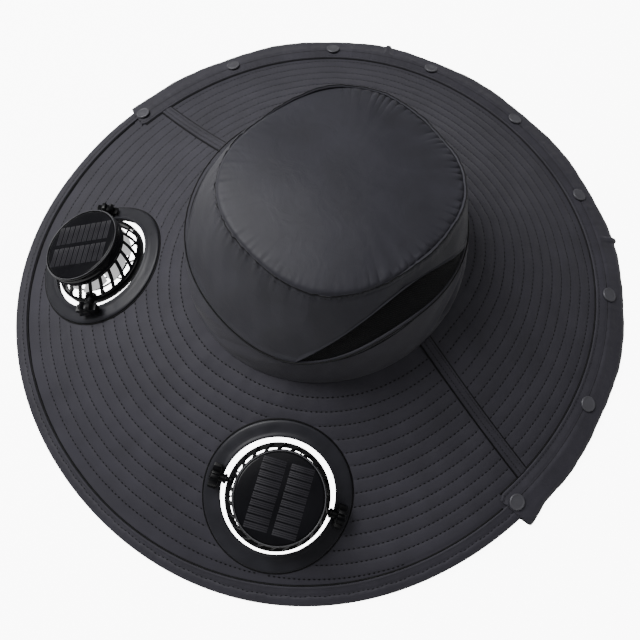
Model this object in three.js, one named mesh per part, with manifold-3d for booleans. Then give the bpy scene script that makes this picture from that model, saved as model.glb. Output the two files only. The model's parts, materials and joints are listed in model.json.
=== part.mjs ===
// A wide-brimmed cloth sun hat with a soft gathered crown, mesh side vents, a strip with snaps
// round the back of the brim's edge, and two solar fans that tilt in the front of the brim.
import * as THREE from "three";
import { mergeVertices } from "three/addons/utils/BufferGeometryUtils.js";
import Module from "manifold-3d";

const wasm = await Module();
wasm.setup();

// Lengths are in millimetres and angles in degrees. X is the wearer's left, Y the back, Z up.
// Angles round the hat start at the front and grow towards the wearer's left.

const GAP = 0.3; // clearance left between pieces that touch
const SINK = 0.6; // how deep the parts of one moulding run into each other

// Brim
const RIM_HALF_WIDTH = 229.5;
const RIM_HALF_LENGTH = 238.5;
const RIM_SQUARENESS = 2.1; // how far the plan pulls in at the front, back and sides
const BRIM_WALL = 2.2;
const BRIM_SAG = 3; // how far the brim dips between the crown and the rim
const BRIM_SWAY = 4.7; // how far the brim leans up and down beside a fan
const SWAY_SPAN = 22; // degrees from a fan's middle to the crest and the hollow beside it
const SWAY_FADE = 2; // larger makes the sway die out sooner towards the crown and the rim
const SIDE_SEAM_ANGLE = 91.5;
const SEAM_TAPE_WIDTH = 8.5;
const SEAM_TAPE_WALL = 0.9;
const ALLOWANCE = 2; // brim cloth that runs in under the crown band
const BRIM_ROWS = [0.25, 0.5, 0.76, 0.9]; // shares of the brim's width where its sections lie

// Edge binding
const BINDING_WIDTH = 11.5;
const BINDING_WALL = 0.8;
const FOOT = 2; // flat width under the rim, inwards from the cloth's edge

// Edge strip with its snaps
const STRIP_END_ANGLE = 85.5;
const STRIP_WIDTH = 20;
const STRIP_WALL = 1.1;
const STRIP_SLACK = 2.2; // how far the folded strip stands off the rim
const STRIP_RIPPLE = 1.3;
const TUCK_ANGLE = 146;
const TUCK_WIDTH = 7;
const TUCK_RISE = 2;
const LIFT_START_ANGLE = 66; // where the rim starts to rise onto the strip
const SNAP_COUNT = 9;
const SNAP_PITCH = 23.2;
const SNAP_INSET = 9.5;
const SNAP_RADIUS = 5.8;
const SNAP_RISE = 1.5;

// Crown
const BASE_HALF_WIDTH = 96;
const BASE_HALF_LENGTH = 104;
const BASE_SHIFT = 7; // centre of the crown's base, behind the centre of the rim
const BASE_HEIGHT = 55;
const BASE_TILT = 1.9; // the crown's base is this much lower at the front than at its middle
const BAND_WALL = 1.5;
const BAND_HALF_WIDTH = 90.4; // plan of the band's top edge
const BAND_HALF_LENGTH = 92;
const BAND_SHIFT = 2.4;
const BAND_SQUARENESS = 2.1;
const BAND_FRONT_HEIGHT = 25.4;
const BAND_SIDE_HEIGHT = 44;
const BAND_SWEEP = 2.8; // larger keeps the band low for longer before it climbs to the sides
const CLOTH_WALL = 1.2;
const SIDE_BULGE = 1.5;
const SEAM_HALF_WIDTH = 70; // plan of the seam round the crown's top
const SEAM_HALF_LENGTH = 78;
const SEAM_SHIFT = 17;
const SEAM_SQUARENESS = 2.3;
const CROWN_HEIGHT = 75; // from the crown's base up to that seam
const SEAM_TILT = 8.5; // the seam is this much higher at the front than at its middle
const SEAM_ROLL = 2; // and this much lower on the wearer's left
const DOME_RISE = 8;
const GATHER_COUNT = 14;
const GATHER_RISE = 1.7;
const GATHER_ANGLE = 80; // gathers run round the back from this angle to its mirror image
const GATHER_FADE = 45; // how far inside those angles they reach their full height
const WINDOW_ANGLE = 83; // middle of each mesh vent
const WINDOW_HALF_SPAN = 46;
const WINDOW_SHARE = 0.75; // height of a vent as a share of the cloth above the band
const MESH_WALL = 0.9;
const MESH_TRIM = 2.2; // how far short of the opening's pointed ends the net stops

// Fans
const FAN_SHARE = 0.51; // place of a fan between the crown's base and the rim
const FLANGE_RADIUS = 50.5;
const FLANGE_BORE = 38.9;
const FLANGE_WALL = 1.5;
const FLANGE_SEAT = 0.6; // clearance under the flange, over the hollows and crests of the brim
const FLANGE_LIP = 1; // how much thicker the flange is at its bore
const HOLE_CLEARANCE = 0.8;
const PIVOT_HEIGHT = 5; // pivot axis above the brim
const RING_RADIUS = 35.4;
const RING_WALL = 2.2;
const RING_HEIGHT = 6;
const PIN_RADIUS = 1.8;
const PIN_CLEARANCE = 0.3;
const NECK_RADIUS = 3.3;
const BOSS_DEPTH = 2.2;
const BOSS_RADIUS = 4;
const KNOB_RADIUS = 6.8;
const KNOB_WIDTH = 6;
const KNOB_TEETH = 8;
const KNOB_TOOTH = 1.3;
const KNOB_INSET = 2.2; // from the flange's bore out to the knob
const CAP_RADIUS = 30.6;
const CAP_BASE = 12; // underside of the solar cap above the pivot axis
const CAP_HEIGHT = 9;
const CAP_ROUND = 1.6;
const PLATE_WALL = 1.4;
const PANEL_RADIUS = 28.8;
const PANEL_WALL = 1.3;
const BAR_COUNT = 16;
const BAR_WIDTH = 1.5;
const BAR_TWIST = 13; // how far round each bar leans on its way up
const GUARD_SPOKES = 6;
const GUARD_WALL = 1.2;
const GUARD_BAR = 1.5;
const GUARD_HUB_RADIUS = 9;
const MOTOR_RADIUS = 9;
const SHAFT_RADIUS = 1;
const SHAFT_CLEARANCE = 0.3;
const ROTOR_RADIUS = 29;
const ROTOR_HUB_RADIUS = 10;
const ROTOR_HUB_HEIGHT = 5;
const ROTOR_RUNNING_GAP = 0.8;
const BLADE_COUNT = 7;
const BLADE_CHORD = 10;
const BLADE_WALL = 1;
const BLADE_PITCH = 32;

// Where each fan sits: its angle round the hat, how its pivot axis is turned, its tilt as shown, and
// the sway of the brim beside it, as a share of the full sway towards the wearer's left.
const FANS = [
  { side: "left", angle: 39, turn: -9, tilt: -13, sway: 0.74 },
  { side: "right", angle: -44.7, turn: 4, tilt: 1, sway: -1 },
];

// Facets
const ROUND_STEPS = 48;
const CROWN_STEPS = 42;
const FLANGE_STEPS = 26;
const TURNED_STEPS = 22;
const SMALL_STEPS = 8;

const rad = THREE.MathUtils.degToRad;
const { lerp, smoothstep } = THREE.MathUtils;

// Makes a material from its colour, roughness and metalness.
function finish(color, roughness, metalness = 0) {
  return new THREE.MeshStandardMaterial({ color, roughness, metalness });
}

const materials = {
  crownCloth: finish(0x4a4b4f, 0.7),
  brimCloth: finish(0x403f45, 0.8),
  trimCloth: finish(0x3a3a40, 0.75),
  mesh: finish(0x0b0b0c, 0.9),
  snap: finish(0x55555c, 0.45, 0.3),
  flange: finish(0x26262a, 0.4),
  gloss: finish(0x101012, 0.2),
  panel: finish(0x1b1b20, 0.1),
  rotor: finish(0xa8a8ac, 0.4),
};

// Plain list of angles from start to end, both included.
function anglesBetween(start, end, steps) {
  return Array.from({ length: steps + 1 }, (_, i) => lerp(start, end, i / steps));
}

// The rim's shared angles inside a range, with the range's own ends added.
function rimAngles(start, end, extra = []) {
  const pitch = 360 / ROUND_STEPS;
  const shared = [-SIDE_SEAM_ANGLE, SIDE_SEAM_ANGLE, 360 - SIDE_SEAM_ANGLE];
  for (let i = Math.ceil(start / pitch); i * pitch <= end; i++) shared.push(i * pitch);
  const inside = [...shared, ...extra].filter((angle) => angle > start && angle < end);
  const all = [start, ...inside, end].sort((a, b) => a - b);
  return all.filter((angle, i) => i === 0 || angle - all[i - 1] > 0.2);
}

// A closed body between an outer and an inner grid of points, wound so that its faces point out.
function shellGeometry(outer, inner, { closed = false, pole = null } = {}) {
  const rows = outer.length;
  const columns = outer[0].length;
  const points = [...outer.flat(), ...inner.flat()];
  const at = (skin, row, column) => (skin * rows + row) * columns + (column % columns);
  const index = [];
  const quad = (a, b, c, d) => index.push(a, b, c, a, c, d);
  const spans = closed ? columns : columns - 1;
  for (let c = 0; c < spans; c++) {
    for (let r = 0; r < rows - 1; r++) {
      quad(at(0, r, c), at(0, r, c + 1), at(0, r + 1, c + 1), at(0, r + 1, c));
      quad(at(1, r, c), at(1, r + 1, c), at(1, r + 1, c + 1), at(1, r, c + 1));
    }
    quad(at(0, 0, c), at(1, 0, c), at(1, 0, c + 1), at(0, 0, c + 1));
    if (!pole) {
      const last = rows - 1;
      quad(at(0, last, c), at(0, last, c + 1), at(1, last, c + 1), at(1, last, c));
    }
  }
  if (pole) {
    points.push(...pole);
    const tip = rows * columns * 2;
    for (let c = 0; c < spans; c++) {
      index.push(at(0, rows - 1, c), at(0, rows - 1, c + 1), tip);
      index.push(at(1, rows - 1, c + 1), at(1, rows - 1, c), tip + 1);
    }
  }
  if (!closed) {
    const end = columns - 1;
    for (let r = 0; r < rows - 1; r++) {
      quad(at(0, r, 0), at(0, r + 1, 0), at(1, r + 1, 0), at(1, r, 0));
      quad(at(0, r, end), at(1, r, end), at(1, r + 1, end), at(0, r + 1, end));
    }
  }
  return facingOut(points, index);
}

// A tube of closed sections, capped at both ends or joined into a ring.
function sectionGeometry(sections, closed) {
  const count = sections[0].length;
  const index = [];
  const spans = closed ? sections.length : sections.length - 1;
  for (let s = 0; s < spans; s++) {
    const a = s * count;
    const b = ((s + 1) % sections.length) * count;
    for (let i = 0; i < count; i++) {
      const j = (i + 1) % count;
      index.push(a + i, b + i, b + j, a + i, b + j, a + j);
    }
  }
  if (!closed) {
    const half = count / 2; // sections run out along one skin and back along the other
    const last = (sections.length - 1) * count;
    for (let i = 0; i < half - 1; i++) {
      const [a, b, c, d] = [i, i + 1, count - 2 - i, count - 1 - i];
      index.push(a, b, c, a, c, d);
      index.push(last + a, last + c, last + b, last + a, last + d, last + c);
    }
  }
  return facingOut(sections.flat(), index);
}

function facingOut(points, index) {
  let volume = 0;
  const cross = new THREE.Vector3();
  for (let i = 0; i < index.length; i += 3) {
    cross.crossVectors(points[index[i + 1]], points[index[i + 2]]);
    volume += points[index[i]].dot(cross);
  }
  if (volume < 0) index.reverse();
  const geometry = new THREE.BufferGeometry().setFromPoints(points);
  geometry.setIndex(index);
  geometry.computeVertexNormals();
  return geometry;
}

// Turns a closed geometry into a solid for cutting and joining.
function solid(geometry) {
  const bare = geometry.clone();
  bare.deleteAttribute("normal");
  bare.deleteAttribute("uv");
  const merged = mergeVertices(bare, 1e-4);
  return new wasm.Manifold(
    new wasm.Mesh({
      numProp: 3,
      vertProperties: new Float32Array(merged.attributes.position.array),
      triVerts: new Uint32Array(merged.index.array),
    }),
  );
}

// Turns a solid back into a geometry.
function geometryOf(body) {
  const { vertProperties, triVerts } = body.getMesh();
  const geometry = new THREE.BufferGeometry();
  geometry.setAttribute("position", new THREE.BufferAttribute(new Float32Array(vertProperties), 3));
  geometry.setIndex(new THREE.BufferAttribute(new Uint32Array(triVerts), 1));
  geometry.computeVertexNormals();
  return geometry;
}

// A turned body about Z from [radius, height] pairs that start and end on the axis or close up.
function turned(profile, steps = TURNED_STEPS) {
  const points = profile.map(([radius, height]) => new THREE.Vector2(radius, height));
  const closed = profile[0][0] > 0 ? [...points, points[0].clone()] : points;
  return new THREE.LatheGeometry(closed, steps).rotateX(Math.PI / 2);
}

// A round bar along X from start to end.
function barAlongX(radius, start, end, steps = SMALL_STEPS) {
  return new THREE.CylinderGeometry(radius, radius, end - start, steps)
    .rotateZ(Math.PI / 2)
    .translate((start + end) / 2, 0, 0);
}

// A point of an oval plan at an angle round the hat.
function oval(angle, halfWidth, halfLength, shift, squareness = 0) {
  const a = rad(angle);
  const scale = 1 - (squareness * Math.cos(4 * a)) / halfWidth;
  return new THREE.Vector3(
    scale * halfWidth * Math.sin(a), shift - scale * halfLength * Math.cos(a), 0);
}

// How far the rim has risen onto the strip, from 0 at the front to 1 along the strip.
function lift(angle) {
  const fromFront = Math.abs(THREE.MathUtils.euclideanModulo(angle + 180, 360) - 180);
  return smoothstep(fromFront, LIFT_START_ANGLE, STRIP_END_ANGLE - 3);
}

function rimTopHeight(angle) {
  return BRIM_WALL + GAP + BINDING_WALL + lift(angle) * (GAP + STRIP_WALL);
}

function baseHeight(angle) {
  return BASE_HEIGHT - BASE_TILT * Math.cos(rad(angle));
}

// How far the brim hangs down at an angle because each fan leans in it.
function swayDrop(angle) {
  return FANS.reduce((sum, fan) => {
    const away = THREE.MathUtils.euclideanModulo(angle - fan.angle + 180, 360) - 180;
    const turn = away / SWAY_SPAN;
    return sum + fan.sway * BRIM_SWAY * turn * Math.exp((1 - turn ** 2) / 2);
  }, 0);
}

// A point of the brim's upper surface: share 0 is the crown's base and share 1 the rim.
function brimPoint(angle, share) {
  const base = oval(angle, BASE_HALF_WIDTH, BASE_HALF_LENGTH, BASE_SHIFT);
  const rim = oval(angle, RIM_HALF_WIDTH, RIM_HALF_LENGTH, 0, RIM_SQUARENESS);
  const point = base.lerp(rim, share);
  const middle = share > 0 && share < 1 ? 4 * share * (1 - share) : 0;
  const sag = BRIM_SAG * middle + swayDrop(angle) * middle ** SWAY_FADE;
  point.z = lerp(baseHeight(angle), rimTopHeight(angle), share) - sag;
  return point;
}

function brimWidth(angle) {
  const base = oval(angle, BASE_HALF_WIDTH, BASE_HALF_LENGTH, BASE_SHIFT);
  return base.distanceTo(oval(angle, RIM_HALF_WIDTH, RIM_HALF_LENGTH, 0, RIM_SQUARENESS));
}

// A point beside the rim: inset is measured in from the cloth's edge, and is negative outside it.
function rimPoint(angle, inset, rise = 0) {
  const width = brimWidth(angle);
  const point = brimPoint(angle, 1 - inset / width);
  if (inset < 0) point.z = rimTopHeight(angle);
  point.z += rise;
  return point;
}

// The height of the brim's upper surface over a place in plan.
function brimHeightAt(x, y) {
  let angle = THREE.MathUtils.radToDeg(Math.atan2(x, BASE_SHIFT - y));
  let share = 0.5;
  for (let pass = 0; pass < 12; pass++) {
    const here = brimPoint(angle, share);
    const along = brimPoint(angle, share + 1e-3).sub(here).multiplyScalar(1e3);
    const round = brimPoint(angle + 1e-2, share).sub(here).multiplyScalar(1e2);
    const [dx, dy] = [x - here.x, y - here.y];
    const scale = along.x * round.y - along.y * round.x;
    share += (dx * round.y - dy * round.x) / scale;
    angle += (along.x * dy - along.y * dx) / scale;
  }
  return brimPoint(angle, share).z;
}

const group = new THREE.Group();

function add(name, geometry, material, parent = group) {
  const mesh = new THREE.Mesh(geometry, material);
  mesh.name = name;
  parent.add(mesh);
  return mesh;
}

// The frame of a fan: its origin on the brim, X along its pivots, Y towards the crown, Z off the brim.
function fanFrame({ angle, turn }) {
  const origin = brimPoint(angle, FAN_SHARE);
  const inward = brimPoint(angle, FAN_SHARE - 1e-3).sub(origin).normalize();
  const tangent = brimPoint(angle + 1e-2, FAN_SHARE).sub(origin).normalize();
  const up = new THREE.Vector3().crossVectors(tangent, inward).normalize();
  const across = tangent.applyAxisAngle(up, rad(turn));
  const back = new THREE.Vector3().crossVectors(up, across).normalize();
  return new THREE.Matrix4()
    .makeBasis(new THREE.Vector3().crossVectors(back, up), back, up)
    .setPosition(origin);
}

// Brim panels, which meet at the side seams under a tape.
function brimPanel(start, end) {
  const inner = -(BAND_WALL + ALLOWANCE);
  const columns = rimAngles(start, end);
  const rows = [null, ...BRIM_ROWS, 1].map((share) => columns.map((angle) => {
    const place = share === null ? inner / brimWidth(angle) : share;
    return brimPoint(angle, place);
  }));
  const under = rows.map((row) => row.map((point) => {
    return point.clone().setZ(point.z - BRIM_WALL);
  }));
  return shellGeometry(rows, under);
}

function frontBrim() {
  const seamGap = THREE.MathUtils.radToDeg(GAP / BASE_HALF_WIDTH);
  let body = solid(brimPanel(-SIDE_SEAM_ANGLE + seamGap, SIDE_SEAM_ANGLE - seamGap));
  for (const fan of FANS) {
    const reach = 20;
    const cutter = new THREE.CylinderGeometry(
      FLANGE_BORE + HOLE_CLEARANCE, FLANGE_BORE + HOLE_CLEARANCE, 2 * reach, FLANGE_STEPS)
      .rotateX(Math.PI / 2)
      .applyMatrix4(fanFrame(fan));
    body = body.subtract(solid(cutter));
  }
  return geometryOf(body);
}

function seamTape(side) {
  const middle = side * SIDE_SEAM_ANGLE;
  const width = brimWidth(middle);
  const end = STRIP_WIDTH + GAP;
  const rows = BRIM_ROWS.map((share) => (1 - share) * width).filter((inset) => inset > end);
  const places = [width - GAP, ...rows, end];
  const across = [-1, -0.5, 0, 0.5, 1];
  const skin = (rise) => places.map((place) => across.map((share) => {
    const point = rimPoint(middle, place);
    const beside = rimPoint(middle + side * 0.5, place).sub(point).setZ(0).normalize();
    point.addScaledVector(beside, (share * SEAM_TAPE_WIDTH) / 2);
    point.z = brimHeightAt(point.x, point.y) + GAP + rise;
    return point;
  }));
  return shellGeometry(skin(SEAM_TAPE_WALL), skin(0));
}

// The folded tape that binds the brim's edge, flat underneath where the hat rests.
function bindingSection(angle) {
  const nose = -(GAP + BINDING_WALL);
  const top = GAP + BINDING_WALL;
  const under = -(BRIM_WALL + GAP);
  const sole = rimTopHeight(angle) + under - BINDING_WALL;
  return [
    rimPoint(angle, BINDING_WIDTH, top),
    rimPoint(angle, 0, top),
    rimPoint(angle, nose, GAP),
    rimPoint(angle, nose).setZ(sole),
    rimPoint(angle, FOOT).setZ(sole),
    rimPoint(angle, BINDING_WIDTH, under - BINDING_WALL),
    rimPoint(angle, BINDING_WIDTH, under),
    rimPoint(angle, -GAP, under),
    rimPoint(angle, -GAP, GAP),
    rimPoint(angle, BINDING_WIDTH, GAP),
  ];
}

function binding() {
  return sectionGeometry(rimAngles(-180, 180).slice(0, -1).map(bindingSection), true);
}

// How far the strip bulges past the rim, with ripples between the snaps and a tuck on each side.
function stripBulge(angle) {
  const fromBack = 180 - Math.abs(angle - 180);
  const ripple = 0.5 - 0.5 * Math.cos(rad(((angle - 180) * 360) / SNAP_PITCH));
  return STRIP_SLACK + STRIP_RIPPLE * ripple + TUCK_RISE * tuck(fromBack);
}

// 1 on a tuck of the strip and 0 away from it.
function tuck(fromFront) {
  const half = THREE.MathUtils.radToDeg(TUCK_WIDTH / 2 / RIM_HALF_LENGTH);
  return 1 - smoothstep(Math.abs(fromFront - TUCK_ANGLE), half * 0.4, half);
}

// The strip folds over the binding: out along its outer skin, then back along its inner skin.
function stripSection(angle) {
  const overBinding = GAP + BINDING_WALL + GAP;
  const step = BINDING_WIDTH + 2 * GAP; // past here the strip comes down onto the brim
  const underBinding = -(BRIM_WALL + overBinding);
  const crease = TUCK_RISE * 0.4 * tuck(180 - Math.abs(angle - 180));
  const nose = -(overBinding + stripBulge(angle));
  const sole = rimTopHeight(angle) + underBinding - STRIP_WALL;
  return [
    rimPoint(angle, STRIP_WIDTH, GAP + STRIP_WALL),
    rimPoint(angle, step, overBinding + STRIP_WALL),
    rimPoint(angle, 0, overBinding + STRIP_WALL + crease),
    rimPoint(angle, nose - STRIP_WALL, -BRIM_WALL / 2),
    rimPoint(angle, nose).setZ(sole),
    rimPoint(angle, FOOT).setZ(sole),
    rimPoint(angle, STRIP_WIDTH, underBinding - STRIP_WALL),
    rimPoint(angle, STRIP_WIDTH, underBinding),
    rimPoint(angle, FOOT).setZ(sole + STRIP_WALL),
    rimPoint(angle, nose + STRIP_WALL / 2).setZ(sole + STRIP_WALL),
    rimPoint(angle, nose, -BRIM_WALL / 2),
    rimPoint(angle, 0, overBinding),
    rimPoint(angle, step, overBinding),
    rimPoint(angle, STRIP_WIDTH, GAP),
  ];
}

function strip() {
  const half = THREE.MathUtils.radToDeg(TUCK_WIDTH / 2 / RIM_HALF_LENGTH);
  const extra = [TUCK_ANGLE, 360 - TUCK_ANGLE].flatMap((middle) => {
    return [-1, -0.4, 0.4, 1].map((share) => middle + share * half);
  });
  const angles = rimAngles(STRIP_END_ANGLE, 360 - STRIP_END_ANGLE, extra);
  return sectionGeometry(angles.map(stripSection), false);
}

// One snap cap on the strip, standing square to the cloth under it.
function addSnap(number) {
  const angle = 180 + (number - (SNAP_COUNT - 1) / 2) * SNAP_PITCH;
  const rise = GAP + BINDING_WALL + GAP + STRIP_WALL;
  const seat = rimPoint(angle, SNAP_INSET, rise);
  const out = rimPoint(angle, SNAP_INSET - 1, rise).sub(seat).normalize();
  const round = rimPoint(angle + 1, SNAP_INSET, rise).sub(seat).normalize();
  const up = new THREE.Vector3().crossVectors(out, round).normalize();
  const profile = [
    [0, 0],
    [SNAP_RADIUS, 0],
    [SNAP_RADIUS, SNAP_RISE * 0.5],
    [SNAP_RADIUS * 0.86, SNAP_RISE],
    [0, SNAP_RISE],
  ];
  const place = new THREE.Group();
  place.quaternion.setFromUnitVectors(new THREE.Vector3(0, 0, 1), up);
  place.position.copy(seat).addScaledVector(up, GAP);
  group.add(place);
  add(`snap_${number + 1}`, turned(profile, SMALL_STEPS), materials.snap, place);
}

function bandHeight(angle) {
  const side = Math.min(Math.abs(THREE.MathUtils.euclideanModulo(angle + 180, 360) - 180), 90);
  return lerp(BAND_FRONT_HEIGHT, BAND_SIDE_HEIGHT, Math.sin(rad(side)) ** BAND_SWEEP);
}

function bandTop(angle, wall = 0) {
  const point = oval(
    angle, BAND_HALF_WIDTH - wall, BAND_HALF_LENGTH - wall, BAND_SHIFT, BAND_SQUARENESS);
  return point.setZ(baseHeight(angle) + bandHeight(angle));
}

// The seam round the crown's top.
function crownSeam(angle, wall = 0) {
  const point = oval(
    angle, SEAM_HALF_WIDTH - wall, SEAM_HALF_LENGTH - wall, SEAM_SHIFT, SEAM_SQUARENESS);
  const a = rad(angle);
  return point.setZ(
    BASE_HEIGHT + CROWN_HEIGHT + SEAM_TILT * Math.cos(a) - SEAM_ROLL * Math.sin(a));
}

// A point of the crown's side: share 0 is the band's top edge and share 1 the crown's seam.
function crownSide(angle, share, wall = 0) {
  const a = rad(angle);
  const bulge = 4 * SIDE_BULGE * share * (1 - share);
  const point = bandTop(angle, wall).lerp(crownSeam(angle, wall), share);
  return point.add(new THREE.Vector3(bulge * Math.sin(a), -bulge * Math.cos(a), 0));
}

// How far up the side a mesh vent reaches at an angle, as a share.
function windowShare(angle) {
  const fromFront = Math.abs(THREE.MathUtils.euclideanModulo(angle + 180, 360) - 180);
  return WINDOW_SHARE * (1 - ((fromFront - WINDOW_ANGLE) / WINDOW_HALF_SPAN) ** 2);
}

// A rise of one clearance on the crown's side, as a share.
function gapShare(angle) {
  return GAP / (crownSeam(angle).z - bandTop(angle).z);
}

function crownBand() {
  const columns = anglesBetween(-180, 180, CROWN_STEPS).slice(0, -1);
  const skin = (wall) => [0, 0.5, 1].map((share) => columns.map((angle) => {
    const foot = brimPoint(angle, -wall / brimWidth(angle));
    foot.z += GAP;
    const flare = share * (1 - share) * BAND_WALL;
    const point = foot.lerp(bandTop(angle, wall), share);
    return point.add(new THREE.Vector3(0, 0, -flare));
  }));
  return shellGeometry(skin(0), skin(BAND_WALL), { closed: true });
}

function crownSidePanel() {
  const columns = anglesBetween(-180, 180, CROWN_STEPS).slice(0, -1);
  const skin = (wall) => [0, 0.5, 1].map((share) => columns.map((angle) => {
    const gap = gapShare(angle);
    const low = Math.max(windowShare(angle), 0) + gap;
    return crownSide(angle, lerp(low, 1 - gap, share), wall);
  }));
  return shellGeometry(skin(0), skin(CLOTH_WALL), { closed: true });
}

function meshVent(side) {
  const start = WINDOW_ANGLE - WINDOW_HALF_SPAN + MESH_TRIM;
  const end = WINDOW_ANGLE + WINDOW_HALF_SPAN - MESH_TRIM;
  const pitch = 360 / CROWN_STEPS;
  const columns = [start];
  for (let i = Math.ceil(start / pitch); i * pitch < end; i++) columns.push(i * pitch);
  columns.push(end);
  const skin = (wall) => [0, 0.5, 1].map((share) => columns.map((angle) => {
    const gap = gapShare(angle);
    return crownSide(side * angle, lerp(gap, windowShare(angle) - gap, share), wall);
  }));
  return shellGeometry(skin(0), skin(MESH_WALL));
}

// Angles round the crown's top: few at the front, and several to each gather at the back.
function gatherAngles() {
  const front = anglesBetween(-GATHER_ANGLE, GATHER_ANGLE, 14).slice(0, -1);
  const back = anglesBetween(GATHER_ANGLE, 360 - GATHER_ANGLE, 2 * GATHER_COUNT).slice(0, -1);
  return [...front, ...back];
}

// Folds that the gathered seam throws into the crown's top, at an angle and a share of its radius.
function gatherRise(angle, share) {
  const round = THREE.MathUtils.euclideanModulo(angle, 360);
  const reach = 180 - GATHER_ANGLE;
  const along = 1 - smoothstep(Math.abs(round - 180), reach - GATHER_FADE, reach);
  const inward = smoothstep(1 - share, 0, 0.05) * (1 - smoothstep(1 - share, 0.12, 0.32));
  const turn = ((round - GATHER_ANGLE) / (2 * reach)) * GATHER_COUNT;
  const uneven = 0.7 + 0.3 * Math.sin(2.3 * turn);
  return GATHER_RISE * along * inward * uneven * Math.cos(2 * Math.PI * turn);
}

function crownTop() {
  const columns = gatherAngles();
  const place = (angle, share, depth) => {
    const centre = new THREE.Vector3(0, SEAM_SHIFT, BASE_HEIGHT + CROWN_HEIGHT);
    const point = centre.lerp(crownSeam(angle), share);
    const dome = DOME_RISE * (1 - share ** 2);
    point.z += GAP + CLOTH_WALL + dome + gatherRise(angle, share) - depth;
    return point;
  };
  const skin = (depth) => [1, 0.93, 0.8, 0.45].map((share) => {
    return columns.map((angle) => place(angle, share, depth));
  });
  const pole = [0, CLOTH_WALL].map((depth) => place(0, 0, depth));
  return shellGeometry(skin(0), skin(CLOTH_WALL), { closed: true, pole });
}

// The soft washer round a fan's hole, lying on the brim, thicker by extra on its upper side.
function flangeGeometry(fan, extra = 0) {
  const frame = fanFrame(fan);
  const up = new THREE.Vector3().setFromMatrixColumn(frame, 2);
  const turns = anglesBetween(0, 360, FLANGE_STEPS).slice(0, -1);
  const table = [
    { radius: FLANGE_BORE, rise: FLANGE_WALL + FLANGE_LIP },
    { radius: FLANGE_BORE + 3, rise: FLANGE_WALL + FLANGE_LIP * 0.8 },
    { radius: FLANGE_RADIUS, rise: FLANGE_WALL * 0.5 },
  ];
  const skin = (upper) => table.map(({ radius, rise }) => turns.map((turn) => {
    const flat = new THREE.Vector3(Math.cos(rad(turn)), Math.sin(rad(turn)), 0);
    const point = flat.multiplyScalar(radius).applyMatrix4(frame);
    for (let pass = 0; pass < 8; pass++) {
      point.addScaledVector(up, (brimHeightAt(point.x, point.y) - point.z) / up.z);
    }
    return point.addScaledVector(up, FLANGE_SEAT + (upper ? rise + extra : 0));
  }));
  return shellGeometry(skin(true), skin(false), { closed: true });
}

// A toothed knob on the flange, with the neck and pin that carry the fan's ring.
function pivotKnob(fan, end) {
  const inner = FLANGE_BORE + KNOB_INSET;
  const outline = new THREE.Shape();
  for (let i = 0; i < KNOB_TEETH * 2; i++) {
    const radius = i % 2 ? KNOB_RADIUS : KNOB_RADIUS - KNOB_TOOTH;
    const turn = (i / (KNOB_TEETH * 2)) * 2 * Math.PI;
    const corner = [radius * Math.cos(turn), radius * Math.sin(turn)];
    if (i === 0) outline.moveTo(...corner);
    else outline.lineTo(...corner);
  }
  outline.closePath();
  const wheel = new THREE.ExtrudeGeometry(outline, {
    depth: KNOB_WIDTH, bevelEnabled: false, steps: 1,
  });
  wheel.rotateY(Math.PI / 2).translate(inner, 0, 0);
  const neckStart = RING_RADIUS + 2 * PIN_CLEARANCE;
  const neck = barAlongX(NECK_RADIUS, neckStart, inner + SINK);
  const pin = barAlongX(PIN_RADIUS, RING_RADIUS - RING_WALL - BOSS_DEPTH, neckStart + SINK);
  const place = fanFrame(fan).multiply(new THREE.Matrix4().makeTranslation(0, 0, PIVOT_HEIGHT));
  if (end < 0) place.multiply(new THREE.Matrix4().makeRotationZ(Math.PI));
  const shaped = [wheel, neck, pin].map((piece) => solid(piece.applyMatrix4(place)));
  const whole = shaped.reduce((sum, piece) => sum.add(piece));
  const room = solid(flangeGeometry(fan, GAP));
  const under = new THREE.CylinderGeometry(
    FLANGE_RADIUS, FLANGE_RADIUS, 4 * KNOB_RADIUS, FLANGE_STEPS)
    .rotateX(Math.PI / 2)
    .translate(0, 0, -2 * KNOB_RADIUS - 2 * FLANGE_WALL)
    .applyMatrix4(fanFrame(fan));
  const pieces = whole.subtract(room).subtract(solid(under)).decompose();
  pieces.sort((a, b) => b.volume() - a.volume());
  return geometryOf(pieces[0]);
}

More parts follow.
